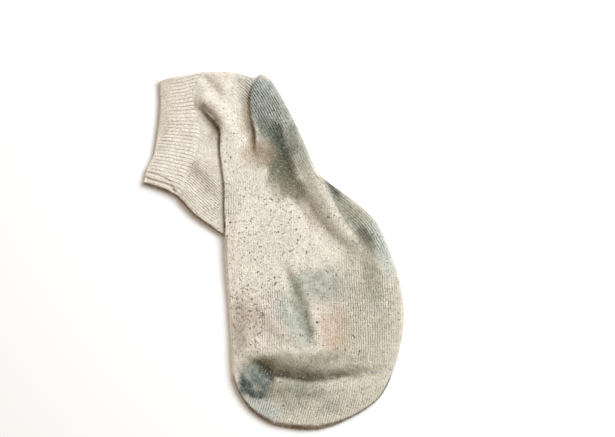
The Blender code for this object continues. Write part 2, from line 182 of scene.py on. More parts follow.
# Creases and swells of the upper sheet. left and right are half widths on either hand as path is
# walked, lean is how far the crest has slumped over its narrower side, and it fades over the first
# and the last few millimetres of the path.
Crease = namedtuple("Crease", "name path height left right lean fades")
CREASES = (
    Crease(
        "heel tongue",
        ((-6, 113), (-10.8, 105), (-12.2, 97), (-11.6, 88), (-9.9, 80.5), (-8.7, 75), (-8.6, 70),
         (-9.8, 65), (-11.6, 59)),
        4.2, 14, 1.4, 1.7, (9, 12),
    ),
    Crease(
        "beside tongue",
        ((-15, 108), (-20, 99), (-19.8, 88), (-17.5, 76), (-17, 66)),
        -1.5, 2.2, 5, 0, (8, 14),
    ),
    Crease(
        "arch ridge",
        ((7, 92), (14.4, 76.2), (21, 63.5), (25.2, 55.5), (29.7, 47.5), (33.5, 38.8), (36.9, 31.4),
         (41.3, 22.9), (45.6, 16.4), (49.8, 10.9), (54, 5.4), (57, -1.1), (58.8, -9)),
        3.9, 1.5, 6.5, 1.9, (28, 20),
    ),
    Crease(
        "outside ridge",
        ((31, 54.5), (35, 45.5), (38.4, 38.6), (42, 32.1), (46.2, 24), (50.4, 17.6), (54.6, 12),
         (59, 5.4), (62, -4), (63.6, -16)),
        -2.6, 5.0, 1.7, 0, (6, 22),
    ),
    Crease(
        "inside ridge",
        ((3, 82), (5.5, 66), (8.5, 52), (15.5, 39), (24.5, 25), (33.4, 13.6), (43.5, 4), (53, -2)),
        -2.1, 3.6, 5, 0, (14, 14),
    ),
    Crease(
        "middle of sole",
        ((5, -2), (9, -14), (14.2, -26), (19, -39), (22.5, -52), (25, -62)),
        -2.1, 2.6, 5, 0, (14, 16),
    ),
    Crease(
        "toe hinge",
        ((-12.4, -69.8), (-8.6, -74.2), (-5, -77.4), (0, -80.2), (5, -81.6), (17, -83.2), (25, -84.4),
         (33, -84.6), (41, -83), (49, -80.9), (57, -78.7), (65, -76.9)),
        -4.5, 4.9, 2.2, 0, (5, 26),
    ),
    Crease(
        "above toe hinge",
        ((-14, -60), (-4, -67), (8, -71), (24, -73.4), (40, -73.4), (54, -71)),
        1.9, 7, 3.8, 0, (12, 18),
    ),
    Crease(
        "toe cap roll",
        ((-6, -83), (6, -86.5), (20, -88.4), (34, -89), (48, -86.2), (60, -82)),
        1.1, 2.2, 6, 0, (8, 20),
    ),
    Crease("second hinge", ((44, -73), (50, -72), (57, -70), (63, -68)), -1.2, 2, 4, 0, (6, 8)),
    Crease("toe pucker", ((38.4, -58), (38.8, -66), (38.4, -73)), -0.9, 1.6, 1.6, 0, (5, 4)),
    Crease("leg hollow", ((-56, 58), (-50, 51), (-43.5, 43), (-37, 33)), -2.1, 3.4, 4, 0, (6, 8)),
    Crease("leg swell", ((-62, 44), (-54, 37), (-45, 28)), 1.0, 4, 4, 0, (6, 8)),
    Crease(
        "dart hollow",
        ((-49.6, 95), (-46, 89.5), (-42, 84.5), (-38.6, 79), (-37.4, 70)),
        -2.4, 1.8, 5.0, 0, (4, 10),
    ),
    Crease(
        "ankle roll",
        ((-49.6, 101.5), (-42.6, 97.2), (-34.8, 89.8), (-29.4, 81), (-29, 70)),
        3.3, 4.8, 4.2, 0.8, (8, 12),
    ),
    Crease(
        "ankle hollow",
        ((-46, 113), (-41, 107), (-36.6, 101), (-33, 94)),
        -2.4, 3.2, 2.6, 0, (4, 7),
    ),
    Crease("above ankle", ((-36, 112), (-30, 104), (-26, 92)), 0.8, 5, 4, 0, (6, 10)),
    Crease(
        "left slant",
        ((-16, -36), (-8.1, -44), (-2.6, -51.5), (4.5, -57.4), (11, -61.3), (18, -65)),
        -1.5, 3.2, 4, 0, (8, 8),
    ),
    Crease("left swell", ((-24, -50), (-13, -56), (-3, -61.5), (8, -66)), 1.1, 5, 5, 0, (6, 8)),
    Crease("left dimple", ((-25, -36), (-18, -41), (-9, -48)), -0.9, 4, 4, 0, (5, 6)),
    Crease(
        "cuff fold",
        ((-88, 48.4), (-83.4, 47.4), (-74.5, 44.8), (-68.9, 43.0), (-64.4, 40.6), (-62.4, 37)),
        -2.0, 0.9, 1.3, 0, (1, 3),
    ),
    Crease(
        "cuff groove",
        ((-88, 52), (-83, 50.9), (-75.6, 48.9), (-68.1, 46.0), (-64, 42.6)),
        -1.3, 0.7, 0.8, 0, (1, 5),
    ),
)


def curve_through(points, places):
    """A smooth curve through points that never swings past them. places are counted in points."""
    points = np.asarray(points, float)
    places = np.clip(np.asarray(places, float), 0, len(points) - 1)
    steps = np.diff(points, axis=0)
    product, total = steps[:-1] * steps[1:], steps[:-1] + steps[1:]
    slopes = np.where(product > 0, 2 * product / np.where(product > 0, total, 1), 0)
    slopes = np.vstack((steps[:1], slopes, steps[-1:]))
    start = np.minimum(places.astype(int), len(points) - 2)
    step = (places - start)[:, None]
    turned = step * step * (3 - 2 * step)
    return (
        points[start] * (1 - turned) + points[start + 1] * turned
        + slopes[start] * step * (1 - step) ** 2
        - slopes[start + 1] * step ** 2 * (1 - step)
    )


def ease(share):
    """0 up to 0, 1 from 1, smooth between."""
    share = np.clip(share, 0, 1)
    return share * share * (3 - 2 * share)


def bell(distance, reach):
    """1 at no distance, about a third at reach, and nothing well past it."""
    return np.exp(-(distance / reach) ** 2)


def section_places(first, last, spacing):
    """Places counted in rows of SECTIONS from first to last, even along the outer edge."""
    places = []
    for row in range(int(first), math.ceil(last)):
        low, high = max(row, first), min(row + 1, last)
        length = math.dist(SECTIONS[row].outer, SECTIONS[row + 1].outer) * (high - low)
        count = max(1, round(length / spacing))
        places.extend(low + (high - low) * k / count for k in range(count))
    return places + [last]


def section_lie(place, across):
    """The plan of one section, the way its cloth runs, and its height."""
    rows = [(*row.outer, *row.inner, row.rise, *row.bends) for row in SECTIONS]
    outer_x, outer_y, inner_x, inner_y, rise, *bends = curve_through(rows, [place])[0]
    chord = np.array((inner_x - outer_x, inner_y - outer_y))
    sideways = np.array((-chord[1], chord[0])) / np.hypot(*chord)
    knots = np.linspace(0, 1, 51)
    bow = np.interp(knots, (0, *BEND_PLACES, 1), (0, *bends, 0))
    bow = np.pad(bow, BOW_SMOOTHING // 2, mode="reflect", reflect_type="odd")
    bow = np.convolve(bow, np.full(BOW_SMOOTHING, 1 / BOW_SMOOTHING), mode="valid")
    bow = np.interp(across, knots, bow)
    plan = np.array((outer_x, outer_y)) + across[:, None] * chord + bow[:, None] * sideways
    return plan, sideways, rise


def fold_shares(across):
    """How far the foot steps up from the leg, and how far it is turned over it."""
    stepped = ease((across - FOLD_TIP) / (FOLD_FULL - FOLD_TIP))
    return stepped, stepped * ease((1 - across) / (1 - FOLD_END))


def corner_room(across):
    """The share of the ankle fold's throw that is left in its inner corner."""
    return np.maximum(ease((1 - across) / FOLD_CORNER), CORNER_LEAST)


def fold_section(across, place):
    """One section through the ankle fold: the upper sheet's plan and height, and the plan of the
    lower sheet, which runs straight on below. place runs over the rows of ANKLE_FOLD."""
    plan, sideways, rise = section_lie(ANKLE_FOLD_PLACE, across)
    along, up, open_along = curve_through(ANKLE_FOLD, [place])[0]
    stepped, turned = fold_shares(across)
    first, last = ANKLE_FOLD[0], ANKLE_FOLD[-1]
    passed = (open_along - first.open_along) / (last.open_along - first.open_along)
    straight = first.along + passed * (last.along - first.along)
    upper = (turned * along + (1 - turned) * open_along) * corner_room(across)
    lower = (turned * straight + (1 - turned) * open_along) * corner_room(across)
    step = FOOT_HEIGHT - LEG_HEIGHT
    height = (
        turned * (LEG_HEIGHT + up * step)
        + (stepped - turned) * (LEG_HEIGHT + ease(passed) * step)
        + (1 - stepped) * rise
    )
    return plan + upper[:, None] * sideways, height, plan + lower[:, None] * sideways


def plain_section(across, place):
    """A section away from the ankle fold, which makes room for it and keeps the height beside it."""
    plan, sideways, rise = section_lie(place, across)
    stepped, turned = fold_shares(across)
    past_fold = place - ANKLE_FOLD_PLACE
    row, level, reach = (ANKLE_FOLD[0], LEG_HEIGHT, LEG_REACH)
    if past_fold > 0:
        row, level, reach = (ANKLE_FOLD[-1], FOOT_HEIGHT, FOOT_REACH)
    room = turned * row.along * max(0, 1 - abs(past_fold))
    room += (1 - turned) * row.open_along * max(0, 1 - 2 * abs(past_fold))
    plan = plan + (room * corner_room(across))[:, None] * sideways
    beside = distance_to_path(plan, fold_line)[0]
    kept = stepped * ease(1 - beside / reach)
    return plan, rise + kept * (level - rise), plan


def distance_to_path(points, path):
    """For each point: the distance to a polyline, the share of the way along it, the side (1 is
    left), and the way to the left there."""
    starts = path[:-1]
    runs = path[1:] - starts
    squares = (runs ** 2).sum(1)
    found = []
    for some in np.array_split(points, max(1, len(points) // 4000)):
        offsets = some[:, None, :] - starts[None]
        along = np.clip((offsets * runs).sum(2) / squares, 0, 1)
        gaps = offsets - along[..., None] * runs
        distances = np.hypot(gaps[..., 0], gaps[..., 1])
        nearest = distances.argmin(1)
        rows = np.arange(len(some))
        run, offset = runs[nearest], offsets[rows, nearest]
        turn = run[:, 0] * offset[:, 1] - run[:, 1] * offset[:, 0]
        share = (nearest + along[rows, nearest]) / len(starts)
        side = np.where(turn > 0, 1, -1)
        found.append(np.stack((distances[rows, nearest], share, side, run[:, 0], run[:, 1])))
    distance, share, side, run_x, run_y = np.concatenate(found, 1)
    length = np.hypot(run_x, run_y)
    return distance, share, side, np.stack((-run_y / length, run_x / length), 1)


def outline():
    """The folded edge all round, from the mouth's outer end past the toe to its inner end."""
    places = section_places(0, TOE_SEAM_PLACE, OUTLINE_SPACING)
    ends = [section_lie(place, np.array((0.0, 0.5, 1.0)))[0] for place in places]
    toe = section_lie(TOE_SEAM_PLACE, np.linspace(0, 1, 20))[0]
    return np.vstack(([e[0] for e in ends], toe[1:-1], [e[2] for e in reversed(ends)]))


def crumple(points, size, seed):
    """Smooth noise from -1 to 1 over the plan, size millimetres from swell to swell."""
    return np.array([noise.noise(Vector((x / size, y / size, seed))) for x, y in points])


def along_path(points, line):
    """How fully each point is on a line, which is wide to either hand and fades towards its ends.
    Also the fade by itself, the distance to the left of the line, and the way to the left."""
    path = curve_through(line.path, np.linspace(0, len(line.path) - 1, 10 * len(line.path)))
    distance, share, side, leftward = distance_to_path(points, path)
    length = np.hypot(*np.diff(path, axis=0).T).sum()
    fade = ease(share * length / line.fades[0]) * ease((1 - share) * length / line.fades[1])
    form = fade * bell(distance, np.where(side > 0, line.left, line.right))
    return form, fade, distance * side, leftward


def creased(points):
    """The creases' height over the plan, and how far they push the cloth sideways."""
    total, pushed = np.zeros(len(points)), np.zeros((len(points), 2))
    for crease in CREASES:
        form, fade, offset, leftward = along_path(points, crease)
        total += crease.height * form
        if crease.lean:
            # The crest slumps over its steep side: the push is widest just beyond the crest.
            steep = 1 if crease.left < crease.right else -1
            narrow, wide = sorted((crease.left, crease.right))
            signed = offset * steep - 0.4 * narrow
            push = crease.lean * fade * bell(signed, np.where(signed > 0, 0.9 * narrow, 0.6 * wide))
            pushed += push[:, None] * steep * leftward
    return total, pushed


def edge_roll(distance, reach):
    """0 at the folded edge, 1 where the sheet lies level, round between."""
    inward = np.clip(distance / reach, 0, 1)
    return np.sqrt(1 - (1 - inward) ** 2)


def even_columns(count):
    """Places across a sheet, closer together at the two folded edges."""
    even = np.linspace(0, 1, count + 1)
    return even - EDGE_CROWDING * np.sin(2 * math.pi * even)


folded_edge = outline()
even_shares = np.linspace(0, 1, 60)
fold_line = section_lie(ANKLE_FOLD_PLACE, even_shares)[0]
plan_middle = (folded_edge.min(0) + folded_edge.max(0)) / 2
box_low, box_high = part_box("sock")
TO_FRAME = np.array(((box_low.x + box_high.x) / 2, (box_low.y + box_high.y) / 2)) - plan_middle * MM


def in_frame(points):
    """Points of the tables, in millimetres, as points of the CAD frame, in metres."""
    placed = np.asarray(points, float) * MM
    placed[..., :2] += TO_FRAME
    return placed


def cuff_lift(plan):
    """How far the cuff's and the leg's lower edge is clear of the table, less towards the foot."""
    edge = curve_through(LIFTED_EDGE, np.linspace(0, len(LIFTED_EDGE) - 1, 40))
    distance, share, _, _ = distance_to_path(plan, edge)
    return CUFF_LIFT * bell(distance, CUFF_LIFT_REACH) * (1 - 0.6 * ease((share - 0.5) / 0.5))


def upper_sheet(plans, heights):
    """The upper sheet's points: its height with every crease, rolled down at the folded edge."""
    shape = plans.shape[:2]
    plan, height = plans.reshape(-1, 2), heights.ravel()
    distance = distance_to_path(plan, folded_edge)[0]
    creases, pushed = creased(plan)
    swells = sum(swell.height * crumple(plan, swell.size, swell.seed) for swell in SWELLS)
    inland = ease(distance / 5)[:, None]
    lift = cuff_lift(plan)
    height = np.maximum(height + creases + swells * inland[:, 0], LEAST_HEIGHT) + 0.7 * lift
    rim = RIM_HEIGHT + lift
    level = rim + (height - rim) * edge_roll(distance, RIM_ROLL)
    return np.column_stack((plan + pushed * inland, level)).reshape(*shape, 3)


def ground_side(plan):
    """Where the folded edge lies on the ground: on the leg's side and on the toe's end. There it is painted
    dark brown as contact shadow and dirt.
    """
    leg = ease((-30 - plan[:, 0]) / 6) * ease((58 - plan[:, 1]) / 12)
    toe_end = ease((-92 - plan[:, 1]) / 12) * ease((52 - plan[:, 0]) / 14)
    return leg, toe_end


def lower_sheet(plans):
    """The lower sheet's points: flat on the table, with low puckers, lifting to the folded edge,
    where it swells out past the upper sheet in an uneven lip."""
    shape = plans.shape[:2]
    plan = plans.reshape(-1, 2)
    distance, _, _, outward_side = distance_to_path(plan, folded_edge)
    leg, toe_end = ground_side(plan)
    lip = LIP * np.maximum(leg, 0.7 * toe_end) * (1 + 0.45 * crumple(plan, 3.6, 5.8))
    pushed = (lip > 0.05) * (lip + distance) * bell(distance, LIP_REACH)
    pushed *= np.minimum(1, lip / 0.4)
    raised = cuff_lift(plan)
    lift = (RIM_HEIGHT + raised) * (1 - edge_roll(distance, RIM_UNDERCUT + 2 * raised))
    lift *= 1 - 0.4 * np.minimum(lip, 1) * bell(distance, 0.4)
    pucker = np.clip(crumple(plan, 16, 5.5) - 0.15, 0, 1) * 0.9 * ease(distance / 6)
    plan = plan + pushed[:, None] * outward_side
    return np.column_stack((plan, lift + pucker)).reshape(*shape, 3)


BODY_START = 2.86       # the jersey comes up through the end of the rib here
BODY_SPACING = 1.0
INNER_SPACING = 4.5
INNER_END = len(SECTIONS) - 1.6     # the inside stops short of the toe
AROUND = (-3.5, 0, 3.5)             # how far off a crease still presses on the inside
BODY_COLUMNS = 150
HIDDEN_STEP = 2         # the lower sheet has every second column
FOLD_ROW_STEP = 1e-3    # between the ankle fold's rows, counted in places
BLEND = 0.34            # of the way between two sections
BLEND_DEPTH = 1.0
WALL = 1.3
UPPER_NAP = 0.8         # where 1 is the cuff's nap
LOWER_NAP = 0.25
EDGE_NAP = 3.5          # how many times as much again the folded edge has
JERSEY_WALE = 1.5       # from one column of stitches to the next
JERSEY_COURSE = 1.1     # from one row of stitches to the next
LEG_ACROSS = 86         # of knit across the leg
LEG_SECTION = 13        # of knit from one section of the leg to the next
POCKET_ALONG = 250      # of knit along the heel pocket and the strip beside the arch
TURN_RADIUS = 12        # of the wales round the ankle fold's tip


def ring_grid(upper, lower):
    """Rings of points all round the tube: the upper sheet out to in, the lower sheet back."""
    return np.concatenate((upper, lower[:, -2:0:-1]), axis=1)


def outward(grid):
    """Unit normals of a grid of rings."""
    along = np.gradient(grid, axis=0)
    around = np.roll(grid, -1, axis=1) - np.roll(grid, 1, axis=1)
    normal = np.cross(around, along)
    return normal / np.maximum(np.linalg.norm(normal, axis=2, keepdims=True), 1e-9)


def inner_grid():
    """The inside of the tube, as rings with as many points as the outside's."""
    across = even_columns(BODY_COLUMNS)
    upper, lower = [], []
    for place in section_places(BODY_START, INNER_END, INNER_SPACING):
        plan, _, _ = section_lie(place, across)
        inset = 1.2 * WALL / np.hypot(*(plan[-1] - plan[0]))
        plan, _, rise = section_lie(place, inset + across * (1 - 2 * inset))
        inward = np.maximum(distance_to_path(plan, folded_edge)[0] - 1.2 * WALL, 0)
        nearby = [creased(plan + np.array((x, y)))[0] for x in AROUND for y in AROUND]
        roof = np.maximum(rise - 0.8 + np.minimum(np.min(nearby, axis=0), 0) - 1.3 * WALL, 1.4 * WALL)
        middle = 1.25 * WALL
        top = middle + np.maximum((roof - middle) * edge_roll(inward, RIM_ROLL), 0.1)
        bottom = middle - np.maximum((middle - WALL) * edge_roll(inward, 1.0), 0.05)
        top[0] = top[-1] = middle
        upper.append(np.column_stack((plan, top)))
        lower.append(np.column_stack((plan, bottom))[::HIDDEN_STEP])
    return ring_grid(np.array(upper), np.array(lower))


def knit_fields(points, places, across):
    """Coordinates that follow the knit, one pair for each stretch: across the wales, along them."""
    leg = np.stack(((FOLD_TIP - across) * LEG_ACROSS, (places - ANKLE_FOLD_PLACE) * LEG_SECTION), -1)
    # On the foot the wales run beside the ankle fold and the left edge, and turn over at its tip.
    beside = distance_to_path(points, FOOT_SPINE)[0]
    turn = np.arctan2(points[:, 0] - fold_tip[0], points[:, 1] - fold_tip[1])
    above = TURN_RADIUS * np.clip(turn, 0, math.pi / 2)
    below = TURN_RADIUS / 2 * math.pi + fold_tip[1] - points[:, 1]
    foot = np.stack((beside, np.where(points[:, 1] > fold_tip[1], above, below)), -1)
    # The heel pocket and the strip beside the arch run with the outer edge.
    distance, along, _, _ = distance_to_path(points, POCKET_SPINE)
    return leg, foot, np.stack((distance, along * POCKET_ALONG), -1)


def knit_stretch(points, places):
    """Which of the stretches of knit_fields each point is in."""
    stretch = np.where(places < ANKLE_FOLD_PLACE, 0, 1)
    _, _, side, _ = distance_to_path(points, POCKET_BORDER)
    pocket = (side > 0) & (points[:, 1] > -12) & (places > ANKLE_FOLD_PLACE)
    return np.where(pocket, 2, stretch)


fold_tip = fold_line[np.argmin(np.abs(even_shares - FOLD_TIP))]
FOOT_SPINE = np.vstack((
    fold_line[fold_line[:, 1] < fold_tip[1]],
    ((-29.5, -10), (-28, -40), (-27.5, -62), (-29.5, -78), (-34, -94), (-42, -112), (-54, -130)),
))
POCKET_SPINE = curve_through(
    ((-34, 150), (-17, 131), (-3, 114), (9, 94), (19.5, 74), (31, 53), (50, 36), (67, 19), (77, 0),
     (84, -22), (87, -42)),
    np.linspace(0, 10, 120),
)
POCKET_BORDER = curve_through(
    ((-8, 125), (-8, 113), (-13, 103), (-13.5, 92), (-11.5, 80), (-6, 66), (5, 52), (22, 44), (38, 31),
     (48, 14), (58, 0), (80, -12)),
    np.linspace(0, 11, 80),
)

# Soiling of the upper sheet, with some painted shade among it, painted in this order: long and wide are
# half sizes, turn is the angle of the long way from +X in degrees, and strength is how much of the cloth's
# colour it hides.
Stain = namedtuple("Stain", "name place long wide turn colour strength")
CREAM = (0.760, 0.690, 0.590)
# painted shade: the dark of the crevice under the ankle fold
CREVICE_SHADE_BROWN = (0.105, 0.075, 0.048)
# painted light on the foot's left folded edge
PAINTED_EDGE_LIGHT = (0.96, 0.90, 0.83)
BLOTCH_GREY = (0.5, 0.46, 0.36)
# painted contact shadow and dirt along the folded edges that lie on the ground
EDGE_SHADOW_BROWN = (0.085, 0.056, 0.034)
TOE_BROWN = (0.05, 0.03, 0.015)     # added to it at the toe's end
LEG_BROWN = (0.10, 0.055, 0.022)    # added to it on the leg's side
UNDER_BROWN = (0.10, 0.055, 0.025)  # added to it there on the lower sheet
HIDDEN_GRIT = 0.15
HIDDEN_WORN = 0.2
STAIN_SOFT = 0.9        # a stain's fading edge, as a share of its size
PATCH_SOFT = 1.0
STAINS = (
    Stain("worn rib", (-68, 84), 38, 12, 84, (0.690, 0.605, 0.505), 0.6),
    Stain("clean rib", (-59.5, 84), 36, 9, 86, (0.820, 0.740, 0.635), 0.7),
    Stain("clean rib low", (-69, 60), 17, 11, 84, (0.850, 0.775, 0.670), 0.75),
    Stain("welt", (-71, 92), 22, 6, 86, (0.600, 0.510, 0.415), 0.6),
    Stain("right half", (64, -34), 70, 27, 84, (0.610, 0.570, 0.455), 0.85),
    Stain("toe cap", (32, -97), 42, 17, 0, (0.655, 0.610, 0.495), 0.7),
    Stain("toe cap blue", (10, -93), 14, 9, -10, (0.420, 0.415, 0.335), 0.65),
    Stain("toe cap blue right", (36, -100), 9, 5, 10, (0.410, 0.410, 0.330), 0.5),
    Stain("arch side", (23, 46), 50, 13, -60, (0.470, 0.455, 0.365), 0.8),
    Stain("brown left", (-17, -44), 15, 12, -80, (0.560, 0.465, 0.365), 0.5),
    Stain("left edge", (-29, -16), 50, 4, 88, (0.620, 0.530, 0.440), 0.35),
    Stain("heel", (-2, 93), 27, 14.5, -62, (0.350, 0.375, 0.335), 0.97),
    Stain("heel flank", (13, 78), 30, 8, -64, (0.390, 0.395, 0.335), 0.9),
    Stain("heel tip", (-7.5, 113.5), 8, 3.2, -14, (0.640, 0.580, 0.450), 0.85),
    Stain("heel low", (-3, 77), 10, 7, -56, (0.170, 0.195, 0.165), 0.75),
    Stain("heel green", (4.5, 66), 13, 6.5, -70, (0.090, 0.108, 0.080), 0.87),
    Stain("below heel", (5.5, 53), 13, 8, -72, (0.098, 0.098, 0.063), 0.88),
    Stain("below heel brown", (13.5, 42), 12, 6, -58, (0.200, 0.180, 0.115), 0.75),
    Stain("below heel green", (3.5, 44), 11, 7, -64, (0.250, 0.225, 0.150), 0.65),
    Stain("below heel olive", (4.5, 56), 9, 6.5, -76, (0.120, 0.125, 0.080), 0.7),
    Stain("along arch", (22, 30), 18, 5.5, -55, (0.320, 0.280, 0.195), 0.68),
    Stain("mauve", (30, 18), 14, 6, -55, (0.540, 0.455, 0.370), 0.5),
    Stain("heel tan", (-9.5, 62), 10, 8, -10, (0.400, 0.300, 0.205), 0.7),
    Stain("heel tan low", (-5, 64), 9, 7, -60, (0.330, 0.280, 0.190), 0.55),
    Stain("strip", (50, 26), 30, 8.5, -50, (0.535, 0.515, 0.415), 0.75),
    Stain("strip edge", (61, 17), 19, 5.5, -50, (0.440, 0.430, 0.345), 0.6),
    Stain("strip blue", (71, 3), 20, 8, -70, (0.560, 0.590, 0.520), 0.85),
    Stain("strip dark", (59, 9), 7, 3.6, -60, (0.080, 0.085, 0.060), 0.75),
    Stain("strip dark low", (60.5, -3), 13, 4.2, -82, (0.270, 0.250, 0.185), 0.7),
    Stain("strip end", (64, -16), 18, 6, -84, (0.370, 0.345, 0.260), 0.6),
    Stain("ball blue left", (10.5, -38), 13, 7, -68, (0.500, 0.530, 0.455), 0.75),
    Stain("ball blue left low", (17, -52), 12, 7, -62, (0.440, 0.470, 0.395), 0.7),
    Stain("ball blue", (29, -22), 17, 11, 4, (0.380, 0.405, 0.340), 0.8),
    Stain("sole crease", (18.5, -38), 22, 4.5, -72, (0.240, 0.250, 0.190), 0.75),
    Stain("peach", (39.5, -50.5), 10, 14, 0, (0.600, 0.455, 0.330), 0.65),
    # painted shade beside the left slant crease
    Stain("left of crease", (4, -61), 11, 5, -32, (0.480, 0.425, 0.330), 0.5),
    # dirt and painted shade in the toe crease band
    Stain("toe hinge dirt and shade", (8, -74.5), 28, 7.5, -8, (0.190, 0.163, 0.105), 0.86),
    Stain("above toe blue", (36, -66.5), 9, 4, 4, (0.330, 0.310, 0.235), 0.65),
    Stain("toe hinge right", (50, -77), 18, 4, 4, (0.330, 0.295, 0.205), 0.65),
    Stain("toe blue", (31, -74), 8, 3.4, -4, (0.460, 0.470, 0.395), 0.65),
    Stain("toe brown", (3, -88), 8, 4.5, 0, (0.400, 0.345, 0.250), 0.6),
    Stain("toe green", (19, -88), 14, 6, -8, (0.340, 0.335, 0.260), 0.75),
    # painted shade on the slope above the toe hinge, with stain
    Stain("toe hinge top", (21, -69.5), 25, 5, 0, (0.310, 0.285, 0.205), 0.72),
    # painted shade along the left slant crease
    Stain("left slant", (-12, -47), 11, 4.5, -46, (0.450, 0.380, 0.290), 0.45),
    Stain("dirty left", (-22.5, -50), 18, 6.5, 88, (0.380, 0.320, 0.250), 0.7),
    Stain("toe left", (-18, -79), 7, 4, -60, (0.330, 0.330, 0.270), 0.5),
    Stain("toe teal", (-11.6, -84.6), 10.4, 9.6, -40, (0.170, 0.205, 0.180), 0.95),
    Stain("toe teal left", (-18, -86), 7, 3.6, -60, (0.035, 0.060, 0.055), 0.85),
    Stain("toe teal right", (-2.4, -79.2), 6.5, 4, -62, (0.045, 0.050, 0.037), 0.95),
    Stain("toe teal top", (-7.6, -74.2), 6, 3.0, -50, (0.080, 0.095, 0.065), 0.8),
    Stain("toe corner", (-6, -100), 13, 6.5, -42, (0.555, 0.575, 0.525), 0.9),
    Stain("toe teal low", (-12, -91.4), 8, 2.8, -6, (0.050, 0.072, 0.064), 0.8),
)
# Colour along a line, such as a fold's edge: dirt, and in many of them painted shade, in one a painted
# highlight. left and right are half widths as path is walked.
Smear = namedtuple("Smear", "name path left right fades colour strength")
RIDGE_EDGE = (
    (30, 51.4), (32.4, 48), (36, 39.8), (39.4, 32.4), (43.8, 24), (48, 17.4), (52.2, 12), (56.4, 6.4),
    (59, -1),
)
SMEARS = (
    # painted shade on the strip beside the arch ridge's step
    Smear("beside arch ridge", RIDGE_EDGE, 4.4, 0.8, (2, 16), (0.18, 0.185, 0.14), 0.62),
    # painted shadow, cast by a second sock that is not built here
    Smear(
        "behind heel",
        ((33, 50), (37, 43), (41, 37), (45, 32)),
        2.2, 2.4, (3, 8), (0.06, 0.062, 0.045), 0.7,
    ),
    Smear(
        # painted highlight on the arch ridge's crest
        "arch ridge crest",
        ((22, 62.6), (27.6, 50.6), (33.6, 38.4), (37.4, 30.6), (41.8, 21.8), (46.4, 15.2), (50.4, 9.8),
         (54.2, 3.8)),
        1.5, 4.2, (12, 12), (0.84, 0.785, 0.665), 0.85,
    ),
    Smear(
        "heel step",
        ((4.6, 83), (5.2, 78), (6.2, 71), (7.4, 64), (10, 56)),
        0.8, 5.0, (5, 8), (0.055, 0.07, 0.048), 0.85,
    ),
    # stain, with painted shade in the valley
    Smear(
        "below heel valley",
        ((4.5, 61), (6.5, 53), (9.5, 45.5), (15, 38), (21, 31)),
        4.5, 4.5, (7, 8), (0.10, 0.096, 0.064), 0.58,
    ),
    Smear(
        "flank dirt",
        ((14, 84), (11.6, 76), (12.4, 68), (15, 60)),
        3.5, 3.5, (5, 6), (0.20, 0.20, 0.16), 0.66,
    ),
    Smear(
        "clean beside tongue",
        ((-8.6, 114), (-14, 106.5), (-16.6, 99), (-16.4, 91), (-15.4, 86)),
        0.8, 5.5, (2, 6), (0.70, 0.63, 0.535), 0.9,
    ),
    # painted shade on the tongue's shadowed west side
    Smear(
        "tongue side",
        ((-13.4, 105), (-14.6, 99), (-14.4, 88), (-13.4, 80.8), (-12.1, 76.3), (-11.6, 71.7), (-12.6, 66)),
        0.7, 3.4, (16, 7), (0.36, 0.265, 0.175), 0.6,
    ),
    # painted shade in the crevice at the tongue's foot
    Smear(
        "tongue foot",
        ((-14.6, 86.5), (-13.6, 80.5), (-12.4, 74.5), (-12.6, 68)),
        1.5, 2.8, (5, 4), (0.14, 0.10, 0.065), 0.65,
    ),
    # painted shade west of the tongue
    Smear(
        "west of tongue",
        ((-21.6, 93), (-20, 86), (-18.6, 79), (-17.4, 72)),
        3.5, 4, (6, 6), (0.50, 0.415, 0.315), 0.5,
    ),
    # painted shade and dirt in the toe hinge's trough
    Smear(
        "in toe hinge",
        ((-9, -72.8), (-5, -76), (0, -78.9), (5, -80.1), (17, -81.2), (25, -82.1), (33, -82), (41, -80.4),
         (49, -79), (57, -77.2), (64, -75.4)),
        3.4, 1.5, (2, 26), (0.095, 0.088, 0.055), 0.85,
    ),
    # painted shade along the toe hinge's crease line
    Smear(
        "toe hinge line",
        ((-10, -71.6), (-4, -77), (2.4, -80.2), (7, -80.4), (12, -80.7), (17, -82.1), (24, -83),
         (31, -82.6), (39, -81.2)),
        1.7, 1.0, (4, 16), (0.055, 0.05, 0.032), 0.65,
    ),
    # painted shade under the ankle roll
    Smear(
        "under roll",
        ((-46.6, 95.2), (-42.4, 91.4), (-38.8, 86.8), (-35.2, 81.6), (-34.2, 77), (-34.4, 72)),
        2.2, 2.8, (3, 12), (0.09, 0.060, 0.035), 0.82,
    ),
    Smear(
        "roll shade",
        ((-42.6, 96.6), (-38.6, 91.6), (-34.6, 86), (-31.8, 79)),
        3.4, 4, (4, 5), (0.45, 0.365, 0.28), 0.4,
    ),
    # painted shade west of the ankle roll
    Smear(
        "left of roll",
        ((-46.6, 90.6), (-42.6, 85.4), (-39.4, 79.4), (-37.8, 73), (-37.2, 66)),
        3, 4.5, (3, 8), (0.36, 0.28, 0.195), 0.6,
    ),
    # painted shade in the leg hollow
    Smear(
        "leg hollow",
        ((-55.6, 56), (-51, 51.4), (-46.6, 46.6), (-42.6, 40.6), (-38, 33)),
        3, 4.4, (4, 6), (0.42, 0.335, 0.25), 0.5,
    ),
)
# Where grit has caught in the cloth, and how thickly from 0 to 1.
Patch = namedtuple("Patch", "name place long wide turn amount")
GRIT = (
    Patch("sole", (-6, 6), 54, 36, -76, 0.75),
    Patch("left side", (-16, -36), 30, 14, -88, 1.0),
    Patch("heel", (0, 76), 24, 12, -66, 1.0),
    Patch("toe", (22, -95), 52, 20, 0, 0.55),
    Patch("ball", (44, -40), 44, 44, 0, 0.55),
    Patch("arch", (50, 16), 38, 18, -50, 0.6),
    Patch("heel flank", (10, 78), 18, 6, -66, 1.0),
    Patch("ankle", (-24, 60), 46, 10, 88, 0.4),
    Patch("leg", (-48, 70), 60, 24, 80, 0.1),
)
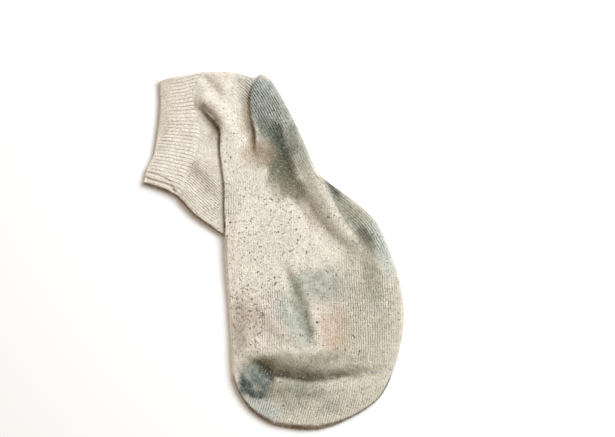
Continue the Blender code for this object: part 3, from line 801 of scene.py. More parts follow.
# Where the cloth is rubbed thin and its wales stand out.
WORN = (
    Patch("heel", (-6, 93), 22, 9.5, -64, 1.0),
    Patch("heel side", (13, 62), 12, 7, -64, 0.2),
    Patch("strip", (54, 20), 36, 10, -50, 0.5),
    Patch("ball", (60, -38), 32, 20, 90, 0.5),
    Patch("toe corner", (-8, -96), 14, 12, 0, 0.4),
    Patch("toe", (30, -98), 40, 14, 0, 0.35),
    Patch("leg", (-44, 38), 24, 14, -40, 0.42),
    Patch("left of crease", (0, -44), 24, 9, 88, 0.4),
)


def cover_of(points, patch, soft):
    """How fully a patch covers each point, fading out over soft, a share of its size."""
    turn = math.radians(patch.turn)
    x, y = (points - np.array(patch.place)).T
    along = (x * math.cos(turn) + y * math.sin(turn)) / patch.long
    beside = (y * math.cos(turn) - x * math.sin(turn)) / patch.wide
    return ease((1 + soft / 2 - np.hypot(along, beside)) / soft)


def dyed(colour, tint, cover):
    """The colour under a tint that covers it from 0 to 1."""
    cover = cover[:, None]
    return colour * (1 - cover) + np.array(tint) * cover


def crevice_painted_shade(points):
    """How much painted shade darkens the crevice under the ankle fold."""
    distance, share, side, _ = distance_to_path(points, fold_edge)
    reach = np.where(side > 0, 0.4, 0.9 + 1.9 * bell(share - 0.17, 0.12))
    uneven = 0.9 - 0.45 * crumple(points, 4.5, 2.5)
    thinned = 0.5 * ease((share - 0.3) / 0.15) * ease((0.95 - share) / 0.2)
    return bell(distance, reach) * uneven * ease(share / 0.06) * (0.85 - thinned)


def edge_shadow_and_dirt(points, upper, distance, toe):
    """Painted contact shadow and dirt, dark brown, where the folded edge lies on the ground: how much of
    it, and its colour.
    """
    leg, toe_end = ground_side(points)
    middle = bell(points[:, 0] - 16, 20)
    reach = 1.2 + 0.2 * leg + (0.9 + 1.4 * middle) * toe_end
    reach = reach + 0.6 * crumple(points, 3, 8.8) * np.maximum(toe_end, leg)
    reach = np.where(upper, reach, 1.0)
    shadow_and_dirt = ease(1.7 - 1.35 * distance / reach) * np.maximum(toe, leg)
    shadow_and_dirt *= 0.88 + 0.25 * crumple(points, 4.4, 3.3)
    shadow_and_dirt *= np.where(upper, 1, 0.8 + 0.7 * crumple(points, 2.6, 9.1))
    brown = np.array(EDGE_SHADOW_BROWN)
    for more, place in ((TOE_BROWN, toe_end), (LEG_BROWN, leg), (UNDER_BROWN, ~upper * leg)):
        brown = brown + np.array(more) * place[:, None]
    return np.clip(shadow_and_dirt, 0, 1), brown


def soiling_and_painted_light(points, upper):
    """The cloth's colour, grit and wear: stains and dirt, with painted shade and painted light among them.
    The hidden side is cleaner, with soft grey blotches.
    """
    wander = np.stack((crumple(points, 9, 2.2), crumple(points, 9, 6.6)), 1) * 2.0
    wander += np.stack((crumple(points, 3.2, 4.2), crumple(points, 3.2, 9.6)), 1) * 1.3
    moved = points + wander
    uneven = 1 + 0.06 * crumple(points, 14, 7.7) + 0.05 * crumple(points, 3.5, 3.9)
    mottle = [
        1 + 0.35 * crumple(points, 4.5, seed) + 0.3 * crumple(points, 1.7, seed) for seed in (0.7, 5.3)
    ]
    colour = np.array(CREAM) * uneven[:, None]

    layers = [(k % 2, stain, cover_of(moved, stain, STAIN_SOFT)) for k, stain in enumerate(STAINS)]
    nearly = points + 0.25 * wander
    layers += [(k % 2, smear, along_path(nearly, smear)[0]) for k, smear in enumerate(SMEARS)]
    for which, layer, cover in layers:
        colour = dyed(colour, layer.colour, np.clip(layer.strength * cover * mottle[which], 0, 1))
    # Painted shade in the crevice under the ankle fold.
    colour = dyed(colour, CREVICE_SHADE_BROWN, crevice_painted_shade(points))
    distance = distance_to_path(points, folded_edge)[0]
    toe = ease((-76 - points[:, 1]) / 8)
    # Painted light: the foot's side away from the toe and heel is painted pale along its folded edge, where
    # the rolled edge faces away from the key light.
    pale = bell(distance, 1.8) * ease((-14 - points[:, 0]) / 6) * ease((4 - points[:, 1]) / 8)
    colour = dyed(colour, PAINTED_EDGE_LIGHT, 0.85 * pale * (1 - toe))
    grit, worn = (
        np.max([patch.amount * cover_of(moved, patch, PATCH_SOFT) for patch in patches], axis=0)
        for patches in (GRIT, WORN)
    )
    # The cloth is matted where the pocket's wales meet the foot's.
    meeting = distance_to_path(points, POCKET_BORDER)[0]
    worn = worn * (1 - 0.9 * ease((80 - points[:, 1]) / 12) * np.exp(-(meeting / 4.5) ** 4))
    blotch = ease(0.35 + 1.1 * crumple(points, 30, 6.1))[:, None]
    below = np.array(CREAM) * uneven[:, None] * (1 - 0.35 * blotch)
    below = below + 0.17 * blotch * np.array(BLOTCH_GREY)
    colour = np.where(upper[:, None], colour, below)
    # Painted contact shadow and dirt where the folded edge lies on the ground.
    shadow_and_dirt, brown = edge_shadow_and_dirt(points, upper, distance, toe)
    colour = dyed(colour, brown, shadow_and_dirt)
    return colour, np.where(upper, grit, HIDDEN_GRIT), np.where(upper, worn, HIDDEN_WORN)


fold_across = np.linspace(FOLD_TIP + 0.02, 0.99, 80)
fold_edge = fold_section(fold_across, 4)[0]


def tube_mesh(name, rings, closing, fields, stretch):
    """A mesh of rings of points, with its closing faces and its knit map."""
    ids = np.arange(rings.shape[0] * rings.shape[1]).reshape(rings.shape[:2])
    beside = np.roll(ids, -1, axis=1)
    faces = np.stack((ids[:-1], ids[1:], beside[1:], beside[:-1]), -1).reshape(-1, 4)
    extra = [[int(corner) for corner in face] for face in closing(ids)]
    mesh = bpy.data.meshes.new(name)
    mesh.from_pydata(in_frame(rings.reshape(-1, 3)).tolist(), [], faces.tolist() + extra)

    corners = np.zeros(len(mesh.loops), int)
    mesh.loops.foreach_get("vertex_index", corners)
    counts = np.zeros(len(mesh.polygons), int)
    mesh.polygons.foreach_get("loop_total", counts)
    stretch_of_face = np.concatenate((stretch[faces[:, 0]], np.zeros(len(extra), int)))
    chosen = fields[np.repeat(stretch_of_face, counts), corners]
    knit_map = mesh.uv_layers.new(name="knit")
    knit_map.data.foreach_set("uv", chosen.astype(np.float32).ravel())
    return mesh, ids


def paint(mesh, colour, **numbers):
    """Stores what the materials and the nap read: the cloth's colour, and numbers by name."""
    dye = mesh.attributes.new("dye", "FLOAT_COLOR", "POINT")
    opaque = np.column_stack((colour, np.ones(len(colour))))
    dye.data.foreach_set("color", opaque.astype(np.float32).ravel())
    for name, values in numbers.items():
        layer = mesh.attributes.new(name, "FLOAT", "POINT")
        layer.data.foreach_set("value", values.astype(np.float32))


def closed_piece(name, mesh, merged):
    """The object of a finished mesh: merged where its sheets meet, faces out, shaded smooth."""
    work = bmesh.new()
    work.from_mesh(mesh)
    work.verts.ensure_lookup_table()
    bmesh.ops.remove_doubles(work, verts=[work.verts[int(k)] for k in merged], dist=1e-5)
    bmesh.ops.recalc_face_normals(work, faces=work.faces)
    work.to_mesh(mesh)
    work.free()
    mesh.shade_smooth()
    piece = bpy.data.objects.new(name, mesh)
    scene.collection.objects.link(piece)
    return piece


class Number:
    """A number in a material's tree. Arithmetic on it adds Math nodes."""

    def __init__(self, socket):
        self.socket = socket

    def maths(self, operation, first, second):
        """A Math node on two numbers, either of which may be a constant."""
        tree = self.socket.node.id_data
        node = tree.nodes.new("ShaderNodeMath")
        node.operation = operation
        for place, term in zip(node.inputs, (first, second)):
            if isinstance(term, Number):
                tree.links.new(term.socket, place)
            else:
                place.default_value = term
        return Number(node.outputs[0])

    def __add__(self, other):
        return self.maths("ADD", self, other)

    def __sub__(self, other):
        return self.maths("SUBTRACT", self, other)

    def __rsub__(self, other):
        return self.maths("SUBTRACT", other, self)

    def __mul__(self, other):
        return self.maths("MULTIPLY", self, other)

    def __truediv__(self, other):
        return self.maths("DIVIDE", self, other)

    def __pow__(self, other):
        return self.maths("POWER", self, other)

    __radd__ = __add__
    __rmul__ = __mul__


class Finish:
    """A material and its node tree."""

    def __init__(self, name, roughness):
        self.material = bpy.data.materials.new(name)
        self.material.use_nodes = True
        self.tree = self.material.node_tree
        self.shader = self.tree.nodes["Principled BSDF"]
        self.shader.inputs["Roughness"].default_value = roughness
        self.shader.inputs["Specular IOR Level"].default_value = 0.12

    def node(self, kind, settings=None, values=None, out=0):
        """Adds a node, sets it up, fills or links its sockets, and returns one output."""
        node = self.tree.nodes.new(kind)
        for name, value in (settings or {}).items():
            setattr(node, name, value)
        for key, value in (values or {}).items():
            socket = node.inputs[key] if isinstance(key, int) else next(
                s for s in node.inputs if key in (s.identifier, s.name)
            )
            if isinstance(value, Number):
                self.tree.links.new(value.socket, socket)
            else:
                socket.default_value = value
        found = node.outputs[out] if isinstance(out, int) else next(
            s for s in node.outputs if out in (s.identifier, s.name)
        )
        return Number(found)

    def math(self, operation, *terms):
        """Any Math node, by its name."""
        return self.node("ShaderNodeMath", {"operation": operation}, dict(enumerate(terms)))

    def noise(self, size, detail=2.0, roughness=0.6):
        """Noise from 0 to 1 on the piece, size millimetres from swell to swell."""
        place = self.node("ShaderNodeTexCoord", out="Object")
        sizes = {"Vector": place, "Scale": 1 / (size * MM), "Detail": detail, "Roughness": roughness}
        return self.node("ShaderNodeTexNoise", values=sizes)

    def attribute(self, name, out="Fac"):
        """A number or, with out="Color", a colour that the piece's mesh carries."""
        return self.node("ShaderNodeAttribute", {"attribute_name": name}, out=out)

    def mix(self, factor, first, second, blend="MIX"):
        """Two colours blended by a factor from 0 to 1."""
        settings = {"data_type": "RGBA", "blend_type": blend}
        values = {"Factor_Float": factor, "A_Color": first, "B_Color": second}
        return self.node("ShaderNodeMix", settings, values, out="Result_Color")

    def ramp(self, value, low, high):
        """0 up to low, 1 from high, smooth between."""
        settings = {"interpolation_type": "SMOOTHSTEP"}
        values = {"Value": value, "From Min": low, "From Max": high}
        return self.node("ShaderNodeMapRange", settings, values)

    def feed(self, **sockets):
        """Links the shader's sockets, named with _ for a space."""
        for name, value in sockets.items():
            self.tree.links.new(value.socket, self.shader.inputs[name.replace("_", " ")])


def knit_finish(name, wale, course, gap):
    """Cotton knit: V-shaped stitches in wales on the knit map, a fuzzy grain, stains and grit.
    gap is how dark the furrow between two wales is painted, as shade."""
    cloth = Finish(name, 0.95)
    cloth.shader.inputs["Sheen Weight"].default_value = 0.12
    cloth.shader.inputs["Sheen Roughness"].default_value = 0.5
    cloth.shader.inputs["Sheen Tint"].default_value = (1.0, 0.97, 0.92, 1)
    knit = cloth.node("ShaderNodeUVMap", {"uv_map": "knit"})
    side = cloth.node("ShaderNodeSeparateXYZ", values={0: knit}, out="X")
    along = cloth.node("ShaderNodeSeparateXYZ", values={0: knit}, out="Y")
    sway = cloth.noise(8.0, 1.0)
    fine_sway = cloth.noise(2.2, 1.0)
    side = side + (sway - 0.5) * 1.1 + (fine_sway - 0.5) * 0.9
    along = along + (sway - 0.5) * 1.0 + (fine_sway - 0.5) * 0.9
    column = cloth.math("FRACT", side / wale)
    spread = cloth.math("ABSOLUTE", column - 0.5) * 2
    limb = 1 - cloth.math("ABSOLUTE", spread - 0.5) * 2
    loop = cloth.math("FRACT", along / course + spread * 0.55)
    loop = 1 - cloth.math("ABSOLUTE", loop - 0.5) * 2
    furrow = cloth.ramp(spread, 0.35, 1.0)
    stitch = limb ** 0.6 * (0.4 + 0.6 * loop)

    # The nap's fibres lie along the wales, in streaks.
    streaks = cloth.node("ShaderNodeCombineXYZ", values={"X": side / 0.9, "Y": along / 1.7})
    streaks = cloth.node(
        "ShaderNodeTexNoise", {"noise_dimensions": "2D"},
        {"Vector": streaks, "Scale": 1.0, "Detail": 2.0, "Roughness": 0.6},
    )
    worn = cloth.attribute("worn")
    grain = cloth.noise(1.2, 2.0, 0.7)
    blur = cloth.noise(4.0, 2.0, 0.6)
    grip = cloth.noise(3.6, 1.0)
    show = (0.10 + 1.15 * worn) * (0.2 + 1.6 * grip)
    # Painted light and shade of the knit: stitch tops lighter, the furrows between wales darker; with
    # random grain.
    shade = 0.972 + show * (0.34 * stitch - gap * furrow - 0.04)
    shade = shade + (streaks - 0.5) * 0.5 + (grain - 0.5) * 0.85 + (blur - 0.5) * 0.45
    tone = cloth.node("ShaderNodeCombineColor", values={"Red": shade, "Green": shade, "Blue": shade})
    colour = cloth.mix(1.0, cloth.attribute("dye", out="Color"), tone, "MULTIPLY")
    # The tips of the fibres have stayed cleaner than the cloth below them.
    tips = cloth.node("ShaderNodeClamp", values={"Value": (cloth.noise(0.9, 1.0, 0.5) - 0.56) * 7.0})
    colour = cloth.mix(tips * 0.34, colour, (0.66, 0.62, 0.53, 1))

    # Flecks of dirt of all sizes, where uneven clumps pass a level that sinks as the grit thickens.
    grit = cloth.attribute("grit")
    clumps = cloth.noise(7.0, 2.0)
    for size, rare, tint, strength in (
        (1.15, 0.72, (0.22, 0.185, 0.13, 1), 0.75),
        (1.8, 0.75, (0.14, 0.115, 0.08, 1), 0.85),
        (2.8, 0.79, (0.10, 0.085, 0.055, 1), 0.9),
    ):
        specks = cloth.noise(size, 1.0, 0.5)
        level = rare - grit * (0.03 + 0.18 * clumps)
        fleck = cloth.math("MULTIPLY", specks - level, 14.0)
        fleck = cloth.node("ShaderNodeClamp", values={"Value": fleck}) * strength
        colour = cloth.mix(fleck, colour, tint)

    height = (stitch - 0.6 * furrow) * (0.15 + 0.85 * worn) + grain * 1.0 + streaks * 0.6 + blur * 0.7
    normal = cloth.node("ShaderNodeBump", values={"Strength": 0.9, "Distance": 0.5 * MM, "Height": height})
    cloth.feed(Base_Color=colour, Normal=normal)
    return cloth.material


def off_table(rings):
    """1 where the cloth is clear of the table, and nap has room to stand."""
    return ease((rings[..., 2] - 0.3) / 0.9)


across = even_columns(BODY_COLUMNS)
body_places = []
sections = []
for place in section_places(BODY_START, TOE_SEAM_PLACE, BODY_SPACING):
    if abs(place - ANKLE_FOLD_PLACE) < 1e-6:
        for row in np.linspace(0, len(ANKLE_FOLD) - 1, FOLD_RINGS):
            sections.append(fold_section(across, row))
            body_places.append(place + (row - (len(ANKLE_FOLD) - 1) / 2) * FOLD_ROW_STEP)
    else:
        sections.append(plain_section(across, place))
        body_places.append(place)
plans, heights, under_plans = (np.array(part) for part in zip(*sections))
body_places = np.array(body_places)
outer = ring_grid(upper_sheet(plans, heights), lower_sheet(under_plans[:, ::HIDDEN_STEP]))
tuck = BLEND_DEPTH * (1 - ease((body_places - BODY_START) / BLEND))
outer = outer - tuck[:, None, None] * outward(outer)
inner = inner_grid()
rings = np.concatenate((outer[::-1], inner))
inner_places = np.linspace(BODY_START, INNER_END, len(inner))


def close_body(ids):
    """The toe, where the two sheets meet in one line, and the far end of the inside."""
    top = ids[0][:BODY_COLUMNS + 1]
    below = np.concatenate((top[:1], ids[0][:BODY_COLUMNS:-1], top[-1:]))
    for k in range(BODY_COLUMNS // HIDDEN_STEP):
        three = list(top[HIDDEN_STEP * k:HIDDEN_STEP * k + 3])
        yield three + [corner for corner in (below[k + 1], below[k]) if corner not in three]
    yield ids[-1]


flat_plan = rings[..., :2].reshape(-1, 2)
flat_places = np.repeat(np.concatenate((body_places[::-1], inner_places)), rings.shape[1])
flat_across = np.tile(np.concatenate((across, across[::HIDDEN_STEP][-2:0:-1])), len(rings))
fields = np.stack(knit_fields(flat_plan, flat_places, flat_across))
mesh, ids = tube_mesh("sock_body", rings, close_body, fields, knit_stretch(flat_plan, flat_places))
is_upper = np.zeros(rings.shape[:2], bool)
is_upper[:len(outer), :BODY_COLUMNS + 1] = True
nap = np.zeros(rings.shape[:2])
nap[:len(outer)] = 1
nap = nap.ravel() * np.where(is_upper.ravel(), UPPER_NAP, LOWER_NAP)
nap *= 1 + EDGE_NAP * bell(distance_to_path(flat_plan, folded_edge)[0], 2.0)
nap *= off_table(rings).ravel()
colour, grit, worn = soiling_and_painted_light(flat_plan, is_upper.ravel())
paint(mesh, colour, grit=grit, worn=worn, nap=nap)
mesh.materials.append(knit_finish("cotton jersey", JERSEY_WALE, JERSEY_COURSE, gap=0.78))
body = closed_piece("sock_body", mesh, ids[0])
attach(body, "root")
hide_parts("sock")

# ---------------------------------------------------------------------------------------------
# Cuff: a 1x1 rib with a turned welt at the mouth, knitted in one with the leg and tighter than it.
# Its ribs are real ridges. The mouth is open, with the cloth's thickness showing round its edge.
# ---------------------------------------------------------------------------------------------
RIBS = 33
POINTS_PER_RIB = 8
RIB_DEPTH = 0.42
RIB_SHADE = 0.27        # painted shade: how much darker the cloth is painted between two ribs
CUFF_WORN = 0.5
CUFF_ACROSS = 70        # of knit across the cuff
CUFF_SECTION = 12       # of knit from one section of the cuff to the next
CUFF_START = 0.13       # the welt stands this far before its first ring
CUFF_END = BODY_START + BLEND + 0.04    # the rib runs on a little below the jersey
CUFF_SPACING = 0.9
CUFF_INNER_SPACING = 5.0
WELT_RADIUS = 0.8
WELT_END = 1.3          # the place where the welt ends and the ribs stand out
RIB_COURSE = 1.0

across = np.linspace(0, 1, RIBS * POINTS_PER_RIB + 1)
cuff_places = np.array(section_places(CUFF_START, CUFF_END, CUFF_SPACING))
plans, heights, _ = (np.array(part) for part in zip(*(plain_section(across, p) for p in cuff_places)))
smooth = ring_grid(upper_sheet(plans, heights), lower_sheet(plans))
normals = outward(smooth)
ring_across = np.concatenate((across, across[-2:0:-1]))
flat_plan = smooth[..., :2].reshape(-1, 2)
sway = (0.30 * crumple(flat_plan, 14, 2.9) + 0.10 * crumple(flat_plan, 4, 1.2)).reshape(smooth.shape[:2])
uneven = (1 + 0.5 * crumple(flat_plan, 7, 4.4)).reshape(smooth.shape[:2])
ridge = np.abs(np.sin(math.pi * (ring_across[None] * RIBS + sway))) ** 0.7
# The welt's ribs are matted, most of all on the side of the Achilles tendon.
matted = WELT_END * (1 - 0.75 * ease((ring_across - 0.35) / 0.3))
clear = 0.12 + 0.88 * ease((cuff_places[:, None] - 0.5 * matted) / (0.7 * matted))
clear = clear * (0.75 + 0.45 * crumple(flat_plan, 9, 7.1).reshape(smooth.shape[:2]))
sunk = BLEND_DEPTH * ease((cuff_places - BODY_START) / BLEND)[:, None]
relief = RIB_DEPTH * (ridge - 0.75) * uneven * clear - sunk
outer = smooth + relief[..., None] * normals
inside_places = np.array(section_places(CUFF_START, cuff_places[-1], CUFF_INNER_SPACING))
nearest = [int(np.abs(cuff_places - place).argmin()) for place in inside_places]
inside = smooth[nearest] + (0.6 * relief[nearest] - WALL)[..., None] * normals[nearest]
# The welt turns over from the outside to the inside in a round edge.
ahead = smooth[0] - smooth[2]
ahead /= np.linalg.norm(ahead, axis=1, keepdims=True)
middle, half = (outer[0] + inside[0]) / 2, (outer[0] - inside[0]) / 2
welt = np.array([
    middle + math.cos(angle) * half + math.sin(angle) * WELT_RADIUS * ahead
    for angle in np.linspace(0, math.pi, 8)[1:-1]
])
rings = np.concatenate((outer[::-1], welt, inside))
rings[..., 2] = np.maximum(rings[..., 2], 0)    # no rib dips below the table


def close_cuff(ids):
    """The hidden end of the cuff's wall, between its outside and its inside."""
    first, last = ids[0], ids[-1]
    return np.stack((first, np.roll(first, -1), np.roll(last, -1), last), 1)


flat_plan = rings[..., :2].reshape(-1, 2)
ring_places = np.concatenate((cuff_places[::-1], np.zeros(len(welt)), inside_places))
flat_places = np.repeat(ring_places, rings.shape[1])
flat_across = np.tile(ring_across, len(rings))
fields = np.stack((flat_across * CUFF_ACROSS, flat_places * CUFF_SECTION), -1)[None]
mesh, ids = tube_mesh("sock_cuff", rings, close_cuff, fields, np.zeros(len(flat_plan), int))
is_upper = np.tile(np.arange(rings.shape[1]) < len(across), (len(rings), 1))
nap = np.zeros(rings.shape[:2])
nap[:len(outer) + len(welt)] = 1
nap *= off_table(rings)
# Painted shade between the ribs.
shaded = np.ones(rings.shape[:2])
shaded[:len(outer)] = (1 - clear * RIB_SHADE * (1 - ridge))[::-1]
colour, grit, _ = soiling_and_painted_light(flat_plan, is_upper.ravel())
worn = np.full(rings.shape[:2], HIDDEN_WORN)
worn[:len(outer)] = (CUFF_WORN * clear)[::-1]
paint(mesh, colour * shaded.reshape(-1, 1), grit=grit, worn=worn.ravel(), nap=nap.ravel())
mesh.materials.append(knit_finish("cotton rib", CUFF_ACROSS / RIBS, RIB_COURSE, gap=0.25))
cuff = closed_piece("sock_cuff", mesh, [])
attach(cuff, "root")

# ---------------------------------------------------------------------------------------------
# Nap: the loose ends of cotton that stand out of the whole knit, and out of its folded edges most.
# Each is a closed, bent and tapering hair, set in the cloth and of its colour.
# ---------------------------------------------------------------------------------------------
NAP_THICK = 0.09
NAP_LENGTH = 1.0        # a hair's length before it is scaled
NAP_SIZES = (0.7, 1.9)
NAP_LEAN = (15.0, 78.0)  # degrees from upright
NAP_PER_METRE = 205000.0  # hairs to the square metre where nap is 1
NAP_BENDS = (0.15, 0.55, -0.4)


def solid_of(name, points, faces):
    """A small closed mesh in millimetres, used as the pattern that is scattered."""
    mesh = bpy.data.meshes.new(name)
    mesh.from_pydata([(x * MM, y * MM, z * MM) for x, y, z in points], [], faces)
    mesh.validate()
    return bpy.data.objects.new(name, mesh)


def hair(name, length, thick, bend):
    """A three-sided hair from the origin upwards, bent to one side and coming to a point."""
    points, faces = [], [(2, 1, 0)]
    for share, wide in ((-0.12, 1.0), (0.5, 0.8)):
        for corner in range(3):
            angle = corner * 2 * math.pi / 3
            points.append((
                bend * length * max(share, 0) ** 2 + wide * thick / 2 * math.cos(angle),
                wide * thick / 2 * math.sin(angle),
                length * share,
            ))
    points.append((bend * length, 0.25 * bend * length, length * (1 - 0.3 * abs(bend))))
    for corner in range(3):
        beside = (corner + 1) % 3
        faces.append((corner, beside, 3 + beside, 3 + corner))
        faces.append((3 + corner, 3 + beside, 6))
    return solid_of(name, points, faces)


def scattered(name, cloth, patterns, thickness, per_metre, sizes, lean, material, seed):
    """Copies of the patterns all over a piece of cloth, thickest where its named number is most."""
    tree = bpy.data.node_groups.new(name, "GeometryNodeTree")
    inputs = {}
    for label, kind, value in (
        ("Geometry", "NodeSocketGeometry", None),
        ("Thickness", "NodeSocketString", thickness),
        ("Per metre", "NodeSocketFloat", per_metre),
        ("Least size", "NodeSocketFloat", sizes[0]),
        ("Largest size", "NodeSocketFloat", sizes[1]),
        ("Least lean", "NodeSocketFloat", math.radians(lean[0])),
        ("Largest lean", "NodeSocketFloat", math.radians(lean[1])),
        ("Seed", "NodeSocketInt", seed),
        ("Material", "NodeSocketMaterial", material),
        *((f"Pattern {k}", "NodeSocketObject", pattern) for k, pattern in enumerate(patterns)),
    ):
        inputs[label] = tree.interface.new_socket(label, in_out="INPUT", socket_type=kind).identifier, value
    tree.interface.new_socket("Geometry", in_out="OUTPUT", socket_type="NodeSocketGeometry")
    given = tree.nodes.new("NodeGroupInput")

    def add(kind, settings=None, **values):
        """A node with its settings; values are constants or other nodes' sockets."""
        node = tree.nodes.new(kind)
        for key, value in (settings or {}).items():
            setattr(node, key, value)
        for key, value in values.items():
            socket = next(s for s in node.inputs if s.enabled and s.name == key.replace("_", " "))
            if isinstance(value, bpy.types.NodeSocket):
                tree.links.new(value, socket)
            else:
                socket.default_value = value
        return node

    number = add("GeometryNodeInputNamedAttribute", {"data_type": "FLOAT"}, Name=given.outputs["Thickness"])
    spread = add(
        "GeometryNodeDistributePointsOnFaces", {"distribute_method": "RANDOM"},
        Mesh=given.outputs["Geometry"], Seed=given.outputs["Seed"],
    )
    density = add("ShaderNodeMath", {"operation": "MULTIPLY"})
    tree.links.new(number.outputs["Attribute"], density.inputs[0])
    tree.links.new(given.outputs["Per metre"], density.inputs[1])
    tree.links.new(density.outputs[0], spread.inputs["Density"])
    joined = add("GeometryNodeJoinGeometry")
    for k in reversed(range(len(patterns))):
        told = add("GeometryNodeObjectInfo", Object=given.outputs[f"Pattern {k}"])
        single = add("GeometryNodeGeometryToInstance", Geometry=told.outputs["Geometry"])
        tree.links.new(single.outputs[0], joined.inputs[0])
    size = add(
        "FunctionNodeRandomValue", {"data_type": "FLOAT"},
        Min=given.outputs["Least size"], Max=given.outputs["Largest size"], Seed=3,
    )
    leaning = add(
        "FunctionNodeRandomValue", {"data_type": "FLOAT"},
        Min=given.outputs["Least lean"], Max=given.outputs["Largest lean"], Seed=4,
    )
    turning = add("FunctionNodeRandomValue", {"data_type": "FLOAT"}, Min=0.0, Max=2 * math.pi, Seed=5)
    which = add("FunctionNodeRandomValue", {"data_type": "INT"}, Min=0, Max=len(patterns) - 1, Seed=6)
    lean_turn = add("ShaderNodeCombineXYZ", X=leaning.outputs["Value"], Z=0.0)
    own_turn = add("ShaderNodeCombineXYZ", Z=turning.outputs["Value"])
    about = add(
        "FunctionNodeRotateRotation", {"rotation_space": "LOCAL"},
        Rotation=spread.outputs["Rotation"], Rotate_By=own_turn.outputs[0],
    )
    tilted = add(
        "FunctionNodeRotateRotation", {"rotation_space": "LOCAL"},
        Rotation=about.outputs[0], Rotate_By=lean_turn.outputs[0],
    )
    placed = add(
        "GeometryNodeInstanceOnPoints",
        Points=spread.outputs["Points"], Instance=joined.outputs[0], Pick_Instance=True,
        Instance_Index=which.outputs[2], Rotation=tilted.outputs[0], Scale=size.outputs["Value"],
    )
    real = add("GeometryNodeRealizeInstances", Geometry=placed.outputs[0])
    # Nothing reaches down through the table.
    place = add("GeometryNodeInputPosition")
    above = add("ShaderNodeVectorMath", {"operation": "MAXIMUM"})
    tree.links.new(place.outputs[0], above.inputs[0])
    above.inputs[1].default_value = (-1.0, -1.0, 0.0)
    lying = add("GeometryNodeSetPosition", Geometry=real.outputs[0], Position=above.outputs[0])
    finish = add("GeometryNodeSetMaterial", Geometry=lying.outputs[0], Material=given.outputs["Material"])
    result = tree.nodes.new("NodeGroupOutput")
    tree.links.new(finish.outputs[0], result.inputs[0])

    grower = bpy.data.objects.new(name + "_source", cloth.data)
    scene.collection.objects.link(grower)
    modifier = grower.modifiers.new("scatter", "NODES")
    modifier.node_group = tree
    for identifier, value in inputs.values():
        if value is not None:
            modifier[identifier] = value
    evaluated = grower.evaluated_get(bpy.context.evaluated_depsgraph_get())
    mesh = bpy.data.meshes.new_from_object(evaluated)
    mesh.name = name
    bpy.data.objects.remove(grower)
    for pattern in patterns:
        bpy.data.objects.remove(pattern)
    piece = bpy.data.objects.new(name, mesh)
    scene.collection.objects.link(piece)
    return piece


fluff = Finish("loose cotton", 0.95)
pale = fluff.mix(0.55, fluff.attribute("dye", out="Color"), (0.80, 0.76, 0.68, 1))
fluff.feed(Base_Color=pale)
for cloth, name, seed in ((body, "sock_body_nap", 11), (cuff, "sock_cuff_nap", 12)):
    hairs = [hair(f"{name}_{k}", NAP_LENGTH, NAP_THICK, bend) for k, bend in enumerate(NAP_BENDS)]
    fuzz = scattered(
        name, cloth, hairs, "nap", NAP_PER_METRE, NAP_SIZES, NAP_LEAN, fluff.material, seed,
    )
    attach(fuzz, "root")

# ---------------------------------------------------------------------------------------------
# Soil: dark crumbs of dried earth, caught in the knit where it has been walked on.
# ---------------------------------------------------------------------------------------------
SOIL_ACROSS = 0.5
SOIL_SIZES = (0.45, 1.15)
SOIL_PER_METRE = 95000.0  # crumbs to the square metre where grit is 1

earth = Finish("dried earth", 0.9)
dark = earth.mix(earth.noise(6.0, 1.0), (0.055, 0.042, 0.028, 1), (0.16, 0.125, 0.08, 1))
earth.feed(Base_Color=dark)


def crumb(name, across, stretch):
    """A lumpy grain: an icosahedron pushed in and out."""
    work = bmesh.new()
    bmesh.ops.create_icosphere(work, subdivisions=1, radius=across / 2)
    points = []
    for corner in work.verts:
        lump = 1 + 0.35 * noise.noise(corner.co * 5 + Vector((stretch, 0, 0)))
        points.append((corner.co.x * lump * stretch, corner.co.y * lump, corner.co.z * lump * 0.7))
    faces = [tuple(corner.index for corner in face.verts) for face in work.faces]
    work.free()
    return solid_of(name, points, faces)


grains = [crumb(f"grain_{k}", SOIL_ACROSS, stretch) for k, stretch in enumerate((0.9, 1.4, 2.0))]
soil = scattered(
    "sock_soil", body, grains, "grit", SOIL_PER_METRE, SOIL_SIZES, (0.0, 25.0), earth.material, 5,
)
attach(soil, "root")

# ---------------------------------------------------------------------------------------------
# Loose ends: yarn pulled out of the toe's edge and of the mouth's corner, and a wisp of blue lint.
# Each is a closed, thin and bent length of yarn, rooted in the cloth.
# ---------------------------------------------------------------------------------------------
End = namedtuple("End", "start middle end thick")
LOOSE_ENDS = (
    End((14.5, -112.6, 2.6), (15.5, -115.6, 3.0), (18.0, -115.2, 1.2), 0.26),
    End((17.5, -112.8, 2.4), (20.5, -114.6, 3.4), (19.5, -116.8, 1.0), 0.24),
    End((22.5, -112.8, 2.4), (23.0, -116.0, 3.0), (26.0, -115.4, 1.0), 0.26),
    End((29.0, -112.6, 2.4), (31.5, -115.6, 2.6), (28.5, -116.0, 1.0), 0.22),
    End((-71.6, 108.6, 3.6), (-74.8, 110.6, 4.0), (-75.2, 108.0, 3.2), 0.45),
    End((-72.0, 107.6, 3.2), (-75.6, 108.6, 3.4), (-74.4, 110.2, 3.0), 0.35),
    End((-71.6, 109.4, 3.4), (-73.6, 109.2, 4.6), (-75.6, 109.4, 3.8), 0.40),
)
LINT_PLACE = (63.6, -77.5)
LINT_REACH = 0.9
LINT_COLOUR = (0.16, 0.33, 0.72, 1)


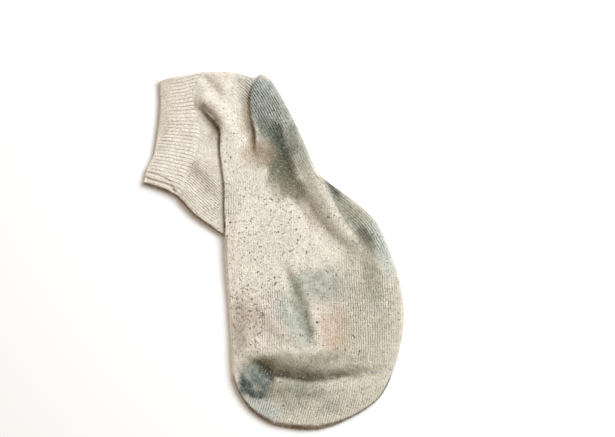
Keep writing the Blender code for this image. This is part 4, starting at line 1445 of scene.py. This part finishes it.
def loose_end(start, middle, end, thick, sides=5, rings=9):
    """Points and faces of a bent length of yarn, thinning towards its end."""
    start, middle, end = Vector(start), Vector(middle), Vector(end)
    points, faces = [], []
    for ring in range(rings):
        t = ring / (rings - 1)
        centre = start * (1 - t) ** 2 + middle * 2 * t * (1 - t) + end * t ** 2
        ahead = ((middle - start) * (1 - t) + (end - middle) * t).normalized()
        beside = ahead.orthogonal().normalized()
        above = ahead.cross(beside)
        for k in range(sides):
            angle = 2 * math.pi * k / sides
            outwards = beside * math.cos(angle) + above * math.sin(angle)
            points.append(centre + thick / 2 * (1 - 0.6 * t) * outwards)
    for ring in range(rings - 1):
        for k in range(sides):
            beside = (k + 1) % sides
            low, high = ring * sides, (ring + 1) * sides
            faces.append((low + k, low + beside, high + beside, high + k))
    faces.append(tuple(range(sides))[::-1])
    faces.append(tuple((rings - 1) * sides + k for k in range(sides)))
    return points, faces


def yarn_piece(name, ends, material):
    """One piece of several loose ends."""
    points, faces = [], []
    for one in ends:
        its_points, its_faces = loose_end(*one)
        faces += [tuple(corner + len(points) for corner in face) for face in its_faces]
        points += its_points
    mesh = bpy.data.meshes.new(name)
    mesh.from_pydata(in_frame(np.array([tuple(point) for point in points])).tolist(), [], faces)
    mesh.materials.append(material)
    piece = closed_piece(name, mesh, [])
    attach(piece, "root")
    return piece


yarn = Finish("loose yarn", 0.95)
yarn.shader.inputs["Base Color"].default_value = (0.70, 0.64, 0.54, 1)
yarn_piece("sock_loose_ends", LOOSE_ENDS, yarn.material)

lint = Finish("blue lint", 0.9)
lint.shader.inputs["Base Color"].default_value = LINT_COLOUR
above = in_frame(np.array([(*LINT_PLACE, 0.0)]))[0]
found, ground, _, _ = body.ray_cast(Vector((above[0], above[1], 0.05)), Vector((0, 0, -1)))
level = (ground.z - above[2]) / MM
random = np.random.default_rng(8)
wisps = []
for _ in range(9):
    start, middle, end = random.normal(0, 0.45, (3, 3)) * LINT_REACH + (*LINT_PLACE, level + 0.25)
    wisps.append(End(start, middle, end, 0.2))
yarn_piece("sock_lint", wisps, lint.material)
